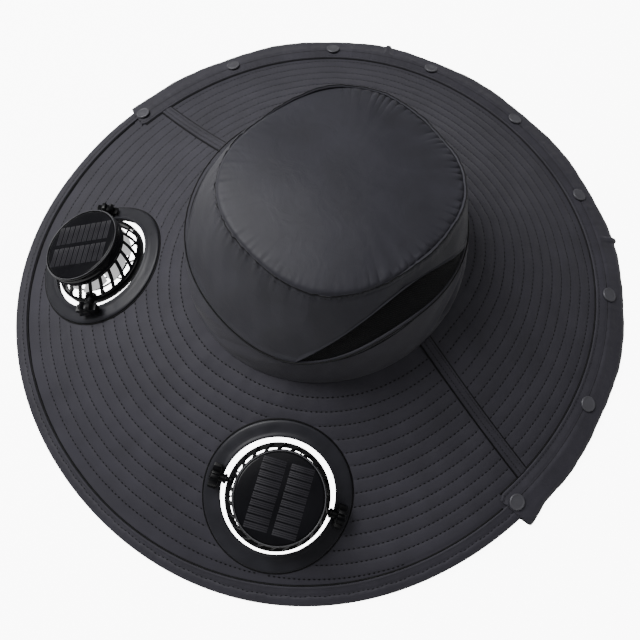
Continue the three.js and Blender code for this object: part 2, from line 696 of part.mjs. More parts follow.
// The fan's housing about its own axis, with the pivot axis at height 0.
function fanBasket() {
  const half = RING_HEIGHT / 2;
  const inner = RING_RADIUS - RING_WALL;
  const ring = turned([[inner, -half], [RING_RADIUS, -half], [RING_RADIUS, half], [inner, half]]);
  const plateTop = CAP_BASE - GAP;
  const plateRadius = CAP_RADIUS - 1;
  const rotorTop = half + ROTOR_RUNNING_GAP;
  const shaftEnd = -half + GUARD_WALL + ROTOR_RUNNING_GAP;
  const plateFloor = plateTop - PLATE_WALL;
  const disc = (radius, floor, top, steps) => turned([
    [0, floor], [radius, floor], [radius, top], [0, top]], steps);
  const parts = [
    ring,
    disc(plateRadius, plateFloor, plateTop, TURNED_STEPS),
    disc(MOTOR_RADIUS, rotorTop, plateFloor + SINK, SMALL_STEPS),
    disc(SHAFT_RADIUS, shaftEnd, rotorTop + SINK, SMALL_STEPS),
    disc(GUARD_HUB_RADIUS, -half, -half + GUARD_WALL, SMALL_STEPS),
  ];
  const foot = new THREE.Vector3(inner + RING_WALL / 2, 0, half - SINK);
  for (let i = 0; i < BAR_COUNT; i++) {
    const head = new THREE.Vector3(plateRadius - BAR_WIDTH, 0, plateFloor + SINK)
      .applyAxisAngle(new THREE.Vector3(0, 0, 1), rad(BAR_TWIST));
    const bar = new THREE.BoxGeometry(BAR_WIDTH, BAR_WIDTH, head.distanceTo(foot));
    const along = head.clone().sub(foot).normalize();
    bar.applyQuaternion(
      new THREE.Quaternion().setFromUnitVectors(new THREE.Vector3(0, 0, 1), along));
    bar.translate(...head.clone().add(foot).multiplyScalar(0.5));
    parts.push(bar.rotateZ((i / BAR_COUNT) * 2 * Math.PI));
  }
  for (const end of [1, -1]) {
    const boss = barAlongX(BOSS_RADIUS, inner - BOSS_DEPTH, inner + RING_WALL / 2);
    parts.push(end > 0 ? boss : boss.rotateZ(Math.PI));
  }
  const spokeStart = GUARD_HUB_RADIUS / 2;
  const spokeEnd = inner + RING_WALL / 2;
  for (let i = 0; i < GUARD_SPOKES; i++) {
    const spoke = new THREE.BoxGeometry(spokeEnd - spokeStart, GUARD_BAR, GUARD_WALL);
    spoke.translate((spokeStart + spokeEnd) / 2, 0, GUARD_WALL / 2 - half);
    parts.push(spoke.rotateZ((i / GUARD_SPOKES) * 2 * Math.PI));
  }
  let body = parts.map((part) => solid(part)).reduce((sum, part) => sum.add(part));
  for (const end of [1, -1]) {
    const bore = barAlongX(PIN_RADIUS + PIN_CLEARANCE, inner - BOSS_DEPTH - 1, RING_RADIUS + 1);
    body = body.subtract(solid(end > 0 ? bore : bore.rotateZ(Math.PI)));
  }
  return geometryOf(body);
}

function fanRotor() {
  const half = RING_HEIGHT / 2;
  const floor = -half + GUARD_WALL + ROTOR_RUNNING_GAP;
  const top = Math.min(floor + ROTOR_HUB_HEIGHT, half);
  const bore = SHAFT_RADIUS + SHAFT_CLEARANCE;
  const parts = [turned([
    [bore, floor], [ROTOR_HUB_RADIUS, floor], [ROTOR_HUB_RADIUS, top - 1],
    [ROTOR_HUB_RADIUS - 1, top], [bore, top]], 12)];
  const root = ROTOR_HUB_RADIUS - 1;
  const pitch = rad(BLADE_PITCH);
  const height = BLADE_CHORD * Math.sin(pitch) + BLADE_WALL * Math.cos(pitch);
  for (let i = 0; i < BLADE_COUNT; i++) {
    const blade = new THREE.BoxGeometry(ROTOR_RADIUS - root, BLADE_CHORD, BLADE_WALL);
    blade.rotateX(pitch).translate((ROTOR_RADIUS + root) / 2, 0, floor + height / 2);
    parts.push(blade.rotateZ((i / BLADE_COUNT) * 2 * Math.PI));
  }
  return geometryOf(parts.map((part) => solid(part)).reduce((sum, part) => sum.add(part)));
}

function solarCap() {
  const top = CAP_BASE + CAP_HEIGHT;
  const seat = top - PANEL_WALL - GAP;
  return turned([
    [0, CAP_BASE], [CAP_RADIUS - CAP_ROUND, CAP_BASE], [CAP_RADIUS, CAP_BASE + CAP_ROUND],
    [CAP_RADIUS, top - CAP_ROUND], [PANEL_RADIUS + GAP, top], [PANEL_RADIUS + GAP, seat],
    [0, seat],
  ]);
}

function solarPanel() {
  const top = CAP_BASE + CAP_HEIGHT;
  return turned([
    [0, top - PANEL_WALL], [PANEL_RADIUS, top - PANEL_WALL], [PANEL_RADIUS, top - PANEL_WALL / 3],
    [PANEL_RADIUS - 1, top], [0, top],
  ]);
}

function addFan(fan) {
  const name = (piece) => `fan_${piece}_${fan.side}`;
  add(name("flange"), flangeGeometry(fan), materials.flange);
  add(name("knob_a"), pivotKnob(fan, 1), materials.gloss);
  add(name("knob_b"), pivotKnob(fan, -1), materials.gloss);
  const mount = new THREE.Group();
  fanFrame(fan).decompose(mount.position, mount.quaternion, mount.scale);
  const head = new THREE.Group();
  head.name = name("head");
  head.position.z = PIVOT_HEIGHT;
  head.rotation.x = rad(fan.tilt);
  mount.add(head);
  group.add(mount);
  add(name("basket"), fanBasket(), materials.gloss, head);
  add(name("cap"), solarCap(), materials.gloss, head);
  add(name("panel"), solarPanel(), materials.panel, head);
  add(name("rotor"), fanRotor(), materials.rotor, head);
}

add("brim_front", frontBrim(), materials.brimCloth);
add("brim_back", brimPanel(SIDE_SEAM_ANGLE, 360 - SIDE_SEAM_ANGLE), materials.brimCloth);
add("seam_tape_left", seamTape(1), materials.trimCloth);
add("seam_tape_right", seamTape(-1), materials.trimCloth);
add("edge_binding", binding(), materials.trimCloth);
add("edge_strip", strip(), materials.trimCloth);
for (let number = 0; number < SNAP_COUNT; number++) addSnap(number);
add("crown_band", crownBand(), materials.crownCloth);
add("crown_side", crownSidePanel(), materials.crownCloth);
add("mesh_vent_left", meshVent(1), materials.mesh);
add("mesh_vent_right", meshVent(-1), materials.mesh);
add("crown_top", crownTop(), materials.crownCloth);
for (const fan of FANS) addFan(fan);

export default group;
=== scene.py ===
import json
import math

import bpy
import numpy as np
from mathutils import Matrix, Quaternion, Vector


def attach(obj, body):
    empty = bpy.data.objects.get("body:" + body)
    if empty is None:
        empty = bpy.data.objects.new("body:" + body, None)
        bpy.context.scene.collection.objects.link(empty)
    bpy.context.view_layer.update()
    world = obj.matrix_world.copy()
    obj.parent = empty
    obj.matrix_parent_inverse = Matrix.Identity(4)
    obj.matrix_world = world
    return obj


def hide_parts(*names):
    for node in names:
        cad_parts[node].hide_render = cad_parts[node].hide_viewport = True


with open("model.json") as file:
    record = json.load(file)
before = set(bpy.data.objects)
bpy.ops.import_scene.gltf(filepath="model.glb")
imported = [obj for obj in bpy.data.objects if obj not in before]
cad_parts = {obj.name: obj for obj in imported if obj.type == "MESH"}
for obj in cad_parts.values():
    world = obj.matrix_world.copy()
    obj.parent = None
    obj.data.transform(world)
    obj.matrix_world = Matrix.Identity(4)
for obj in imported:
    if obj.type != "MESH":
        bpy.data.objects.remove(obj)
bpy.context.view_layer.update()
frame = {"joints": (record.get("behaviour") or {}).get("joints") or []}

# Sizes are in millimetres and angles in degrees, as in the frame. Angles round the hat start at
# the front and grow towards the wearer's left. Meshes are scaled to metres when they are made.
MM = 0.001
GAP = 0.3

RIM_HALF_WIDTH = 229.5
RIM_HALF_LENGTH = 238.5
RIM_SQUARENESS = 2.1
BRIM_WALL = 2.2
BRIM_SAG = 3.0
BRIM_SWAY = 4.7
SWAY_SPAN = 22.0
SWAY_FADE = 2.0
SIDE_SEAM = 91.5
TAPE_WIDTH = 8.5
TAPE_WALL = 0.9
ALLOWANCE = 3.5

BINDING_WIDTH = 11.5
BINDING_WALL = 0.8
FOOT = 2.0

STRIP_END = 85.5
STRIP_WIDTH = 20.0
STRIP_WALL = 1.1
STRIP_SLACK = 2.2
STRIP_RIPPLE = 1.3
TUCK_ANGLE = 146.0
TUCK_WIDTH = 7.0
TUCK_RISE = 2.0
LIFT_START = 66.0
SNAP_COUNT = 9
SNAP_PITCH = 23.2
SNAP_INSET = 9.5
SNAP_RADIUS = 5.8

BASE_HALF_WIDTH = 96.0
BASE_HALF_LENGTH = 104.0
BASE_SHIFT = 7.0
BASE_HEIGHT = 55.0
BASE_TILT = 1.9
BAND_WALL = 1.5
BAND_HALF_WIDTH = 90.4
BAND_HALF_LENGTH = 92.0
BAND_SHIFT = 2.4
BAND_SQUARENESS = 2.1
BAND_FRONT_HEIGHT = 25.4
BAND_SIDE_HEIGHT = 44.0
BAND_SWEEP = 2.8
CLOTH_WALL = 1.2
SIDE_BULGE = 1.5
SEAM_HALF_WIDTH = 70.0
SEAM_HALF_LENGTH = 78.0
SEAM_SHIFT = 17.0
SEAM_SQUARENESS = 2.3
CROWN_HEIGHT = 75.0
SEAM_TILT = 8.5
SEAM_ROLL = 2.0
DOME_RISE = 8.0
WINDOW_ANGLE = 83
WINDOW_HALF_SPAN = 46
WINDOW_SHARE = 0.75
MESH_WALL = 0.9

FAN_SHARE = 0.51
FLANGE_RADIUS = 50.5
FLANGE_BORE = 38.9
FLANGE_WALL = 1.5
FLANGE_SEAT = 0.6
FLANGE_LIP = 1.0
HOLE_RADIUS = 39.7
PIVOT_HEIGHT = 5.0
RING_RADIUS = 35.4
RING_WALL = 2.2
RING_HEIGHT = 6.0
PIN_RADIUS = 1.8
NECK_RADIUS = 3.3
BOSS_DEPTH = 2.2
BOSS_RADIUS = 4.0
KNOB_RADIUS = 6.8
KNOB_WIDTH = 6.0
KNOB_INSET = 2.2
CAP_RADIUS = 30.6
CAP_BASE = 12.0
CAP_HEIGHT = 9.0
PANEL_RADIUS = 28.8
PANEL_WALL = 1.3
GUARD_WALL = 1.2
MOTOR_RADIUS = 9.0
ROTOR_RADIUS = 29.0
ROTOR_HUB_RADIUS = 10.0
ROTOR_GAP = 0.8
FANS = [
    {"side": "left", "angle": 39.0, "turn": -9.0, "sway": 0.74, "draw": 0.05},
    {"side": "right", "angle": -44.7, "turn": 4.0, "sway": -1.0, "draw": 0.0},
]

# Stitched rows: angle round the hat, share of the outermost row, and the rows' pitch in shares.
ROW_COUNT = 14
STITCH_PITCH = 3.4
FRONT_ROWS = [
    (-92, 0.862, 0.067), (-75, 0.863, 0.067), (-20, 0.868, 0.0622), (0, 0.870, 0.0622),
    (15, 0.862, 0.0625), (62, 0.898, 0.0632), (92, 0.903, 0.0632),
]
BACK_ROWS = [
    (91, 0.853, 0.066), (104, 0.853, 0.066), (125, 0.861, 0.0630), (135, 0.868, 0.0625),
    (150, 0.859, 0.0612), (180, 0.860, 0.0700), (210, 0.874, 0.0680), (225, 0.882, 0.0675),
    (256, 0.876, 0.0700), (269, 0.876, 0.0700),
]

# Places of a seam tape's two lines of stitching across its half width, from front to back.
TAPE_SEAMS = (-0.35, 0.62)

# The strip's ends: how far they stand out, and the turn of their cut.
END_FLARE = 4.5
END_SKEW = 0.8

# Lays of the cloth: the brim's width, and the heights of the band and the crown.
BRIM_SPAN = 135.0
BAND_SPAN = 40.0
CROWN_SPAN = 60.0

# Band folds: centre angle, change of angle up the band, height, half width, and reach up the band.
BAND_FOLDS = [
    (-62, 48, 1.7, 5.5, 0.0, 1.0), (-40, 30, -1.3, 5.0, 0.1, 0.9), (-22, 26, 1.0, 5.0, 0.0, 0.8),
    (-84, 40, -1.2, 6.0, 0.1, 1.0), (5, 30, 0.7, 6.0, 0.2, 1.0), (-4, 26, -0.8, 4.5, 0.1, 0.9),
    (86, 34, 2.2, 3.4, 0.1, 1.0), (94, 32, -1.6, 3.0, 0.2, 1.0), (100, 28, 2.4, 2.8, 0.1, 1.0),
    (107, 22, -1.5, 2.6, 0.25, 1.0), (112, 18, 1.6, 2.8, 0.3, 1.0), (142, -14, 1.0, 6.0, 0.2, 0.9),
    (165, 10, -0.8, 6.0, 0.1, 0.9), (-120, 14, 1.0, 6.0, 0.1, 1.0), (-150, -8, -0.9, 7.0, 0.1, 0.9),
]

# How far each ring's wall hangs below the rear guard, its rim is lowered and its lip reaches in.
SKIRT = {"left": -2.5, "right": 4.0}
RING_DROP = {"left": 0.0, "right": 3.2}
RING_LIP = {"left": 1.4, "right": 0.0}
BAR_COUNT = 22
BLADE_COUNT = 7

# Solar panel layout, seen from above with the long way of the cells along the given turn.
CELL_TURN = {"left": 91.5, "right": 86.0}
CELL_LENGTH = 46.5
CELL_WIDTH = 15.6
CELL_SPLIT = 3.3
CELL_BLOCKS = 10
CELL_FINGERS = 3

# The photograph's view: its direction, distance, roll and width of field.
CAMERA_AZIMUTH = 46.467
CAMERA_ELEVATION = 70.193
CAMERA_DISTANCE = 441.2
CAMERA_TARGET = (37.445, -34.354, 55.0)
CAMERA_ROLL = 1.776
CAMERA_LENS = 35.77

# Marks a height that is measured from the floor.
ON_FLOOR = True

HALF_TURN = np.diag([-1.0, -1.0, 1.0, 1.0])


def smoothstep(value, low, high):
    t = np.clip((value - low) / (high - low), 0, 1)
    return t * t * (3 - 2 * t)


def wrapped(angle):
    """Angles brought between -180 and 180."""
    return (np.asarray(angle, float) + 180) % 360 - 180


def waves(x, y, table):
    """A sum of sine waves, each row of the table holding an amount, two frequencies and a phase."""
    return sum(amount * np.sin(fx * x + fy * y + phase) for amount, fx, fy, phase in table)


def bell(value, width):
    return np.exp(-((value / width) ** 2))


def unit(vectors):
    return vectors / np.maximum(np.linalg.norm(vectors, axis=-1, keepdims=True), 1e-9)


def stacked(x, y, z):
    return np.stack(np.broadcast_arrays(x, y, z), axis=-1)


def outward(a, lift=0.0):
    """Directions away from the hat's middle at angles in radians, lifted a little."""
    return unit(stacked(np.sin(a), -np.cos(a), lift))


def axes_frame(across, up, origin):
    """A 4 by 4 matrix of a place with its X and Z axes."""
    matrix = np.eye(4)
    matrix[:3, 0], matrix[:3, 1], matrix[:3, 2] = across, np.cross(up, across), up
    matrix[:3, 3] = origin
    return matrix


def in_frame(points, matrix):
    return (points - matrix[:3, 3]) @ matrix[:3, :3]


def from_frame(points, matrix):
    return points @ matrix[:3, :3].T + matrix[:3, 3]


def oval(angle, half_width, half_length, shift, squareness=0.0):
    a = np.radians(angle)
    scale = 1 - squareness * np.cos(4 * a) / half_width
    return scale * half_width * np.sin(a), shift - scale * half_length * np.cos(a)


def rim_top(angle):
    lift = smoothstep(np.abs(wrapped(angle)), LIFT_START, STRIP_END - 3)
    return BRIM_WALL + GAP + BINDING_WALL + lift * (GAP + STRIP_WALL)


def base_height(angle):
    return BASE_HEIGHT - BASE_TILT * np.cos(np.radians(angle))


def sway_drop(angle):
    """How far the brim hangs down at an angle because each fan leans in it."""
    turns = [wrapped(np.asarray(angle) - fan["angle"]) / SWAY_SPAN for fan in FANS]
    return sum(fan["sway"] * BRIM_SWAY * turn * np.exp((1 - turn ** 2) / 2)
               for fan, turn in zip(FANS, turns))


def brim_plan(angle):
    """The crown's base and the rim at an angle, seen from above."""
    base = oval(angle, BASE_HALF_WIDTH, BASE_HALF_LENGTH, BASE_SHIFT)
    return *base, *oval(angle, RIM_HALF_WIDTH, RIM_HALF_LENGTH, 0.0, RIM_SQUARENESS)


def brim_at(angle, share):
    """Points of the brim's upper surface: share 0 is the crown's base and share 1 the rim."""
    bx, by, rx, ry = brim_plan(angle)
    middle = 4 * np.clip(share, 0, 1) * (1 - np.clip(share, 0, 1))
    low, high = base_height(angle), rim_top(angle)
    z = low + (high - low) * share - BRIM_SAG * middle - sway_drop(angle) * middle ** SWAY_FADE
    z = np.where(np.asarray(share) > 1, high, z)
    return stacked(bx + (rx - bx) * share, by + (ry - by) * share, z)


def brim_width(angle):
    bx, by, rx, ry = brim_plan(angle)
    return np.hypot(rx - bx, ry - by)


def rim_at(angle, inset, rise=0.0):
    """Points beside the rim, inset from the cloth's edge."""
    points = brim_at(angle, 1 - inset / brim_width(angle))
    points[..., 2] += rise
    return points


def band_height(angle):
    side = np.minimum(np.abs(wrapped(angle)), 90)
    rise = BAND_SIDE_HEIGHT - BAND_FRONT_HEIGHT
    return BAND_FRONT_HEIGHT + rise * np.sin(np.radians(side)) ** BAND_SWEEP


def band_top(angle, wall=0.0):
    x, y = oval(
        angle, BAND_HALF_WIDTH - wall, BAND_HALF_LENGTH - wall, BAND_SHIFT, BAND_SQUARENESS)
    return stacked(x, y, base_height(angle) + band_height(angle))


def crown_seam(angle, wall=0.0):
    x, y = oval(angle, SEAM_HALF_WIDTH - wall, SEAM_HALF_LENGTH - wall, SEAM_SHIFT, SEAM_SQUARENESS)
    a = np.radians(angle)
    z = BASE_HEIGHT + CROWN_HEIGHT + SEAM_TILT * np.cos(a) - SEAM_ROLL * np.sin(a)
    return stacked(x, y, z)


def crown_side_at(angle, share, wall=0.0):
    a = np.radians(angle)
    bulge = 4 * SIDE_BULGE * share * (1 - share)
    t = np.asarray(share)[..., None]
    points = band_top(angle, wall) * (1 - t) + crown_seam(angle, wall) * t
    return points + stacked(bulge * np.sin(a), -bulge * np.cos(a), 0.0)


def window_share(angle):
    return WINDOW_SHARE * (1 - ((np.abs(wrapped(angle)) - WINDOW_ANGLE) / WINDOW_HALF_SPAN) ** 2)


class Form:
    """Collects vertices, faces and UVs, in millimetres."""

    def __init__(self):
        self.points, self.quads, self.triangles, self.uvs = [], [], [], []
        self.quad_kinds, self.triangle_kinds = [], []
        self.count = 0

    def add(self, points, quads=(), triangles=(), uv=None, kind=0):
        points = np.asarray(points, float).reshape(-1, 3)
        quads = np.asarray(quads, int).reshape(-1, 4)
        triangles = np.asarray(triangles, int).reshape(-1, 3)
        if volume(points, quads, triangles) < 0:
            quads, triangles = quads[:, ::-1], triangles[:, ::-1]
        self.points.append(points)
        self.quads.append(quads + self.count)
        self.triangles.append(triangles + self.count)
        self.quad_kinds.append(np.full(len(quads), kind))
        self.triangle_kinds.append(np.full(len(triangles), kind))
        self.uvs.append(points[:, :2] if uv is None else np.asarray(uv, float).reshape(-1, 2))
        self.count += len(points)

    def place(self, matrix):
        """Moves what was added so far by a 4 by 4 matrix in millimetres."""
        self.points = [from_frame(points, matrix) for points in self.points]
        return self

    def extend(self, other):
        self.quads += [quads + self.count for quads in other.quads]
        self.triangles += [triangles + self.count for triangles in other.triangles]
        self.points += other.points
        self.uvs += other.uvs
        self.quad_kinds += other.quad_kinds
        self.triangle_kinds += other.triangle_kinds
        self.count += other.count


def volume(points, quads, triangles):
    parts = [triangles, quads[:, :3], quads[:, [0, 2, 3]]]
    faces = np.concatenate([p for p in parts if len(p)])
    a, b, c = (points[faces[:, i]] for i in range(3))
    centre = points.mean(axis=0)
    return np.einsum("ij,ij->", a - centre, np.cross(b - centre, c - centre))


def make_piece(name, form, materials, body, replaces=(), sharp=None):
    """Turns a form into an object that rides on a body and stands for CAD nodes."""
    points = np.concatenate(form.points) * MM
    quads = np.concatenate(form.quads)
    triangles = np.concatenate(form.triangles)
    uvs = np.concatenate(form.uvs) * MM
    loops = np.concatenate([quads.ravel(), triangles.ravel()])
    sizes = np.concatenate([np.full(len(quads), 4), np.full(len(triangles), 3)])
    mesh = bpy.data.meshes.new(name)
    mesh.vertices.add(len(points))
    mesh.vertices.foreach_set("co", points.ravel())
    mesh.loops.add(len(loops))
    mesh.loops.foreach_set("vertex_index", loops)
    mesh.polygons.add(len(sizes))
    mesh.polygons.foreach_set("loop_start", np.concatenate([[0], np.cumsum(sizes)[:-1]]))
    kinds = np.concatenate(form.quad_kinds + form.triangle_kinds)
    mesh.polygons.foreach_set("material_index", kinds.astype(np.int32))
    mesh.update(calc_edges=True)
    mesh.uv_layers.new(name="lay").data.foreach_set("uv", uvs[loops].ravel())
    mesh.shade_smooth()
    if sharp:
        mesh.set_sharp_from_angle(angle=math.radians(sharp))
    mesh.validate()
    for material in materials:
        mesh.materials.append(material)
    piece = bpy.data.objects.new(name, mesh)
    bpy.context.scene.collection.objects.link(piece)
    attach(piece, body)
    if replaces:
        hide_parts(*replaces)


def grid_quads(rows, columns, rows_close=False, columns_close=False):
    """Quads between the points of a grid, which may close on itself either way."""
    r, c = np.meshgrid(np.arange(rows if rows_close else rows - 1),
                       np.arange(columns if columns_close else columns - 1), indexing="ij")
    near, far, ahead = r * columns, (r + 1) % rows * columns, (c + 1) % columns
    return np.stack([near + c, near + ahead, far + ahead, far + c], axis=-1).reshape(-1, 4)


def lay_grid(rows, columns):
    return np.stack(np.meshgrid(rows, columns, indexing="ij"), axis=-1)


def add_sheet(form, outer, inner, closed=False, keep=None, uv=None, tips=None):
    """A solid between two grids of points. Closed joins the last column to the first, and tips
    close the last row of each skin on one point."""
    rows, columns = outer.shape[:2]
    n = rows * columns
    quads = grid_quads(rows, columns, columns_close=closed)
    if keep is not None:
        quads = quads[keep.reshape(-1)]
    starts, ends = quads.ravel(), np.roll(quads, -1, axis=1).ravel()
    edge = ~np.isin(starts * n + ends, ends * n + starts)
    flat = np.zeros((n, 2)) if uv is None else uv.reshape(-1, 2)
    points, lay = np.concatenate([outer.reshape(-1, 3), inner.reshape(-1, 3)]), [flat, flat]
    fans = np.zeros((0, 3), int)
    if tips is not None:
        edge &= np.minimum(starts, ends) < n - columns
        k, ahead = np.arange(columns) + n - columns, (np.arange(columns) + 1) % columns + n - columns
        upper = np.stack([k, ahead, np.full(columns, 2 * n)], axis=1)
        lower = np.stack([ahead + n, k + n, np.full(columns, 2 * n + 1)], axis=1)
        fans = np.concatenate([upper, lower])
        points = np.concatenate([points, tips])
        lay.append(np.tile(flat[-1], (2, 1)))
    walls = np.stack([ends[edge], starts[edge], starts[edge] + n, ends[edge] + n], axis=1)
    faces = np.concatenate([quads, quads[:, ::-1] + n, walls])
    used, packed = np.unique(np.concatenate([faces.ravel(), fans.ravel()]), return_inverse=True)
    form.add(points[used], packed[:faces.size].reshape(-1, 4), packed[faces.size:].reshape(-1, 3),
             uv=np.concatenate(lay)[used])
    return form


def add_loop(form, sections, closed, uv=None, kind=0):
    """A tube of closed sections (sections, points, 3), capped or joined into a ring."""
    spans, count = sections.shape[:2]
    quads = grid_quads(spans, count, rows_close=closed, columns_close=True)[:, [0, 3, 2, 1]]
    if not closed:
        k = np.arange(count // 2 - 1)
        cap = np.stack([k, k + 1, count - 2 - k, count - 1 - k], axis=1)
        quads = np.concatenate([quads, cap, cap[:, ::-1] + (spans - 1) * count])
    form.add(sections.reshape(-1, 3), quads, uv=uv, kind=kind)
    return form


def add_rings(form, rings, tips=None, kind=0):
    """A body of rings of points, closed on a tip at either end or joined round."""
    count, steps = rings.shape[:2]
    points, triangles = rings.reshape(-1, 3), []
    quads = grid_quads(count, steps, rows_close=tips is None, columns_close=True)
    if tips is not None:
        k, ahead = np.arange(steps), (np.arange(steps) + 1) % steps
        base = (count - 1) * steps
        first = np.stack([ahead, k, np.full(steps, len(points))], axis=1)
        last = np.stack([k + base, ahead + base, np.full(steps, len(points) + 1)], axis=1)
        triangles = np.concatenate([first, last])
        points = np.concatenate([points, tips])
    form.add(points, quads, triangles, kind=kind)
    return form


def add_turned(form, profile, steps, kind=0):
    """A turned body about Z from radius and height pairs, on the axis at both ends or closed."""
    profile = np.asarray(profile, float)
    turns = np.linspace(0, 2 * np.pi, steps, endpoint=False)
    ring = profile[0, 0] > 0
    body = profile if ring else profile[1:-1]
    rings = stacked(body[:, :1] * np.cos(turns), body[:, :1] * np.sin(turns), body[:, 1:])
    tips = None if ring else [[0, 0, profile[0, 1]], [0, 0, profile[-1, 1]]]
    return add_rings(form, rings, tips, kind)


def turned_along_x(profile, steps):
    """A turned body about X, from radius and distance pairs."""
    matrix = np.array([[0, 0, 1, 0], [1, 0, 0, 0], [0, 1, 0, 0], [0, 0, 0, 1]], float)
    return add_turned(Form(), profile, steps).place(matrix)


def add_stitches(form, seats, along, up, length, width, height=0.22, kind=0):
    """Threads that lie along a line of stitching: small lozenges, pointed at both ends."""
    if not len(seats):
        return
    across = unit(np.cross(up, along))
    top, low = seats + up * height, seats - up * height
    corners = [seats + along * length / 2, seats + across * width / 2,
               seats - along * length / 2, seats - across * width / 2, top, low]
    points = np.stack(corners, axis=1)
    pattern = np.array([[0, 1, 4], [1, 2, 4], [2, 3, 4], [3, 0, 4],
                        [1, 0, 5], [2, 1, 5], [3, 2, 5], [0, 3, 5]])
    faces = (pattern[None] + 6 * np.arange(len(seats))[:, None, None]).reshape(-1, 3)
    form.add(points, triangles=faces, uv=points[..., :2], kind=kind)


def add_painted_shadow_line(form, line, width, height=0.25, closed=False, kind=1):
    """A thin dark line along a line of points: painted shadow, such as at the foot of a turned edge.
    """
    ahead = np.roll(line, -1, axis=0) - np.roll(line, 1, axis=0)
    if not closed:
        ahead = np.gradient(line, axis=0)
    across = unit(np.cross(unit(ahead), [0.0, 0.0, 1.0])) * width / 2
    up = np.array([0.0, 0.0, height])
    sections = np.stack([line + across, line + up, line - across, line - up], axis=1)
    add_loop(form, sections, closed=closed, kind=kind)


def stitch_along(form, line, pitch, lift, length, width, slant=0.0):
    """Stitches along a flat line, each one turned a little where they slant."""
    seats, along, _ = spaced(line, pitch)
    up = np.tile([0.0, 0.0, 1.0], (len(seats), 1))
    swing = slant * np.sin(1.7 * np.arange(len(seats)))[:, None]
    along = unit(along + swing * np.cross(up, along))
    add_stitches(form, seats + up * lift, along, up, length, width, kind=1)


def grid_normals(points):
    return unit(np.cross(np.gradient(points, axis=0), np.gradient(points, axis=1)))


def spaced(points, pitch, values=None):
    """Places every pitch along a dense line of points, with the direction and the value there."""
    along = np.concatenate([[0], np.cumsum(np.linalg.norm(np.diff(points, axis=0), axis=1))])
    stops = np.arange(pitch / 2, along[-1], pitch)

    def place(distance):
        return np.stack([np.interp(distance, along, points[:, i]) for i in range(3)], axis=1)

    carried = None if values is None else np.interp(stops, along, values)
    return place(stops), unit(place(stops + 0.5) - place(stops - 0.5)), carried


def set_sockets(node, values):
    for socket, value in values.items():
        node.inputs[socket].default_value = value
    return node


def node_material(name, color, roughness, values):
    """A Principled material. Returns the material, its nodes, links and shader."""
    material = bpy.data.materials.new(name)
    material.use_nodes = True
    nodes, links = material.node_tree.nodes, material.node_tree.links
    shader = nodes["Principled BSDF"]
    set_sockets(shader, {"Base Color": (*color, 1), "Roughness": roughness, **values})
    return material, nodes, links, shader


def add_texture(nodes, links, kind, place, values):
    texture = set_sockets(nodes.new(kind), values)
    links.new(place, texture.inputs["Vector"])
    return texture


def shaded(color, low, high):
    """Two shades of a colour for a ramp."""
    return [tuple(min(1.0, c * k) for c in color) + (1,) for k in (low, high)]


def add_ramp(nodes, links, source, stops):
    ramp = nodes.new("ShaderNodeValToRGB")
    elements = ramp.color_ramp.elements
    while len(elements) < len(stops):
        elements.new(0.5)
    for element, (position, color) in zip(elements, stops):
        element.position, element.color = position, color
    links.new(source, ramp.inputs["Fac"])
    return ramp


def add_bump(nodes, links, height, strength, distance, before=None):
    bump = set_sockets(nodes.new("ShaderNodeBump"), {"Strength": strength, "Distance": distance})
    links.new(height, bump.inputs["Height"])
    if before:
        links.new(before.outputs["Normal"], bump.inputs["Normal"])
    return bump


def cloth_material(name, color, weave=0.55, crease=0.0, ripple=0.0, roughness=0.62, sheen=0.1):
    """Woven cloth: a fine over-and-under weave, blotches of tone, and optional thread ripples."""
    material, nodes, links, shader = node_material(name, color, roughness, {
        "Sheen Weight": sheen, "Sheen Roughness": 0.5, "Specular IOR Level": 0.35})
    place = nodes.new("ShaderNodeTexCoord").outputs["Object"]
    layer = nodes.new("ShaderNodeUVMap")
    layer.uv_map = "lay"
    lay = layer.outputs["UV"]
    blotch = add_texture(nodes, links, "ShaderNodeTexNoise", place, {"Scale": 38, "Detail": 6})
    low, high = shaded(color, 0.86, 1.14)
    tone = add_ramp(nodes, links, blotch.outputs["Fac"], [(0.3, low), (0.7, high)])
    crossing = nodes.new("ShaderNodeMath")
    crossing.operation = "MULTIPLY"
    for socket, direction in enumerate("XY"):
        thread = add_texture(nodes, links, "ShaderNodeTexWave", lay, {
            "Scale": 480, "Distortion": 0.6, "Detail": 1})
        thread.bands_direction = direction
        links.new(thread.outputs["Fac"], crossing.inputs[socket])
    weave_tone = add_ramp(
        nodes, links, crossing.outputs[0], [(0, (0.6, 0.6, 0.6, 1)), (0.5, (1, 1, 1, 1))])
    dark = nodes.new("ShaderNodeMix")
    dark.data_type = "RGBA"
    dark.blend_type = "MULTIPLY"
    dark.inputs["Factor"].default_value = 0.25
    links.new(tone.outputs["Color"], dark.inputs["A"])
    links.new(weave_tone.outputs["Color"], dark.inputs["B"])
    links.new(dark.outputs["Result"], shader.inputs["Base Color"])
    last = add_bump(nodes, links, crossing.outputs[0], weave, 0.00012)
    if crease:
        folds = add_texture(nodes, links, "ShaderNodeTexNoise", place, {
            "Scale": 55, "Detail": 3, "Distortion": 1.2})
        last = add_bump(nodes, links, folds.outputs["Fac"], crease, 0.0009, last)
    if ripple:
        pulls = add_texture(nodes, links, "ShaderNodeTexWave", lay, {
            "Scale": 62, "Distortion": 2.5, "Detail": 2, "Detail Scale": 3})
        last = add_bump(nodes, links, pulls.outputs["Fac"], ripple, 0.0004, last)
    links.new(last.outputs["Normal"], shader.inputs["Normal"])
    return material


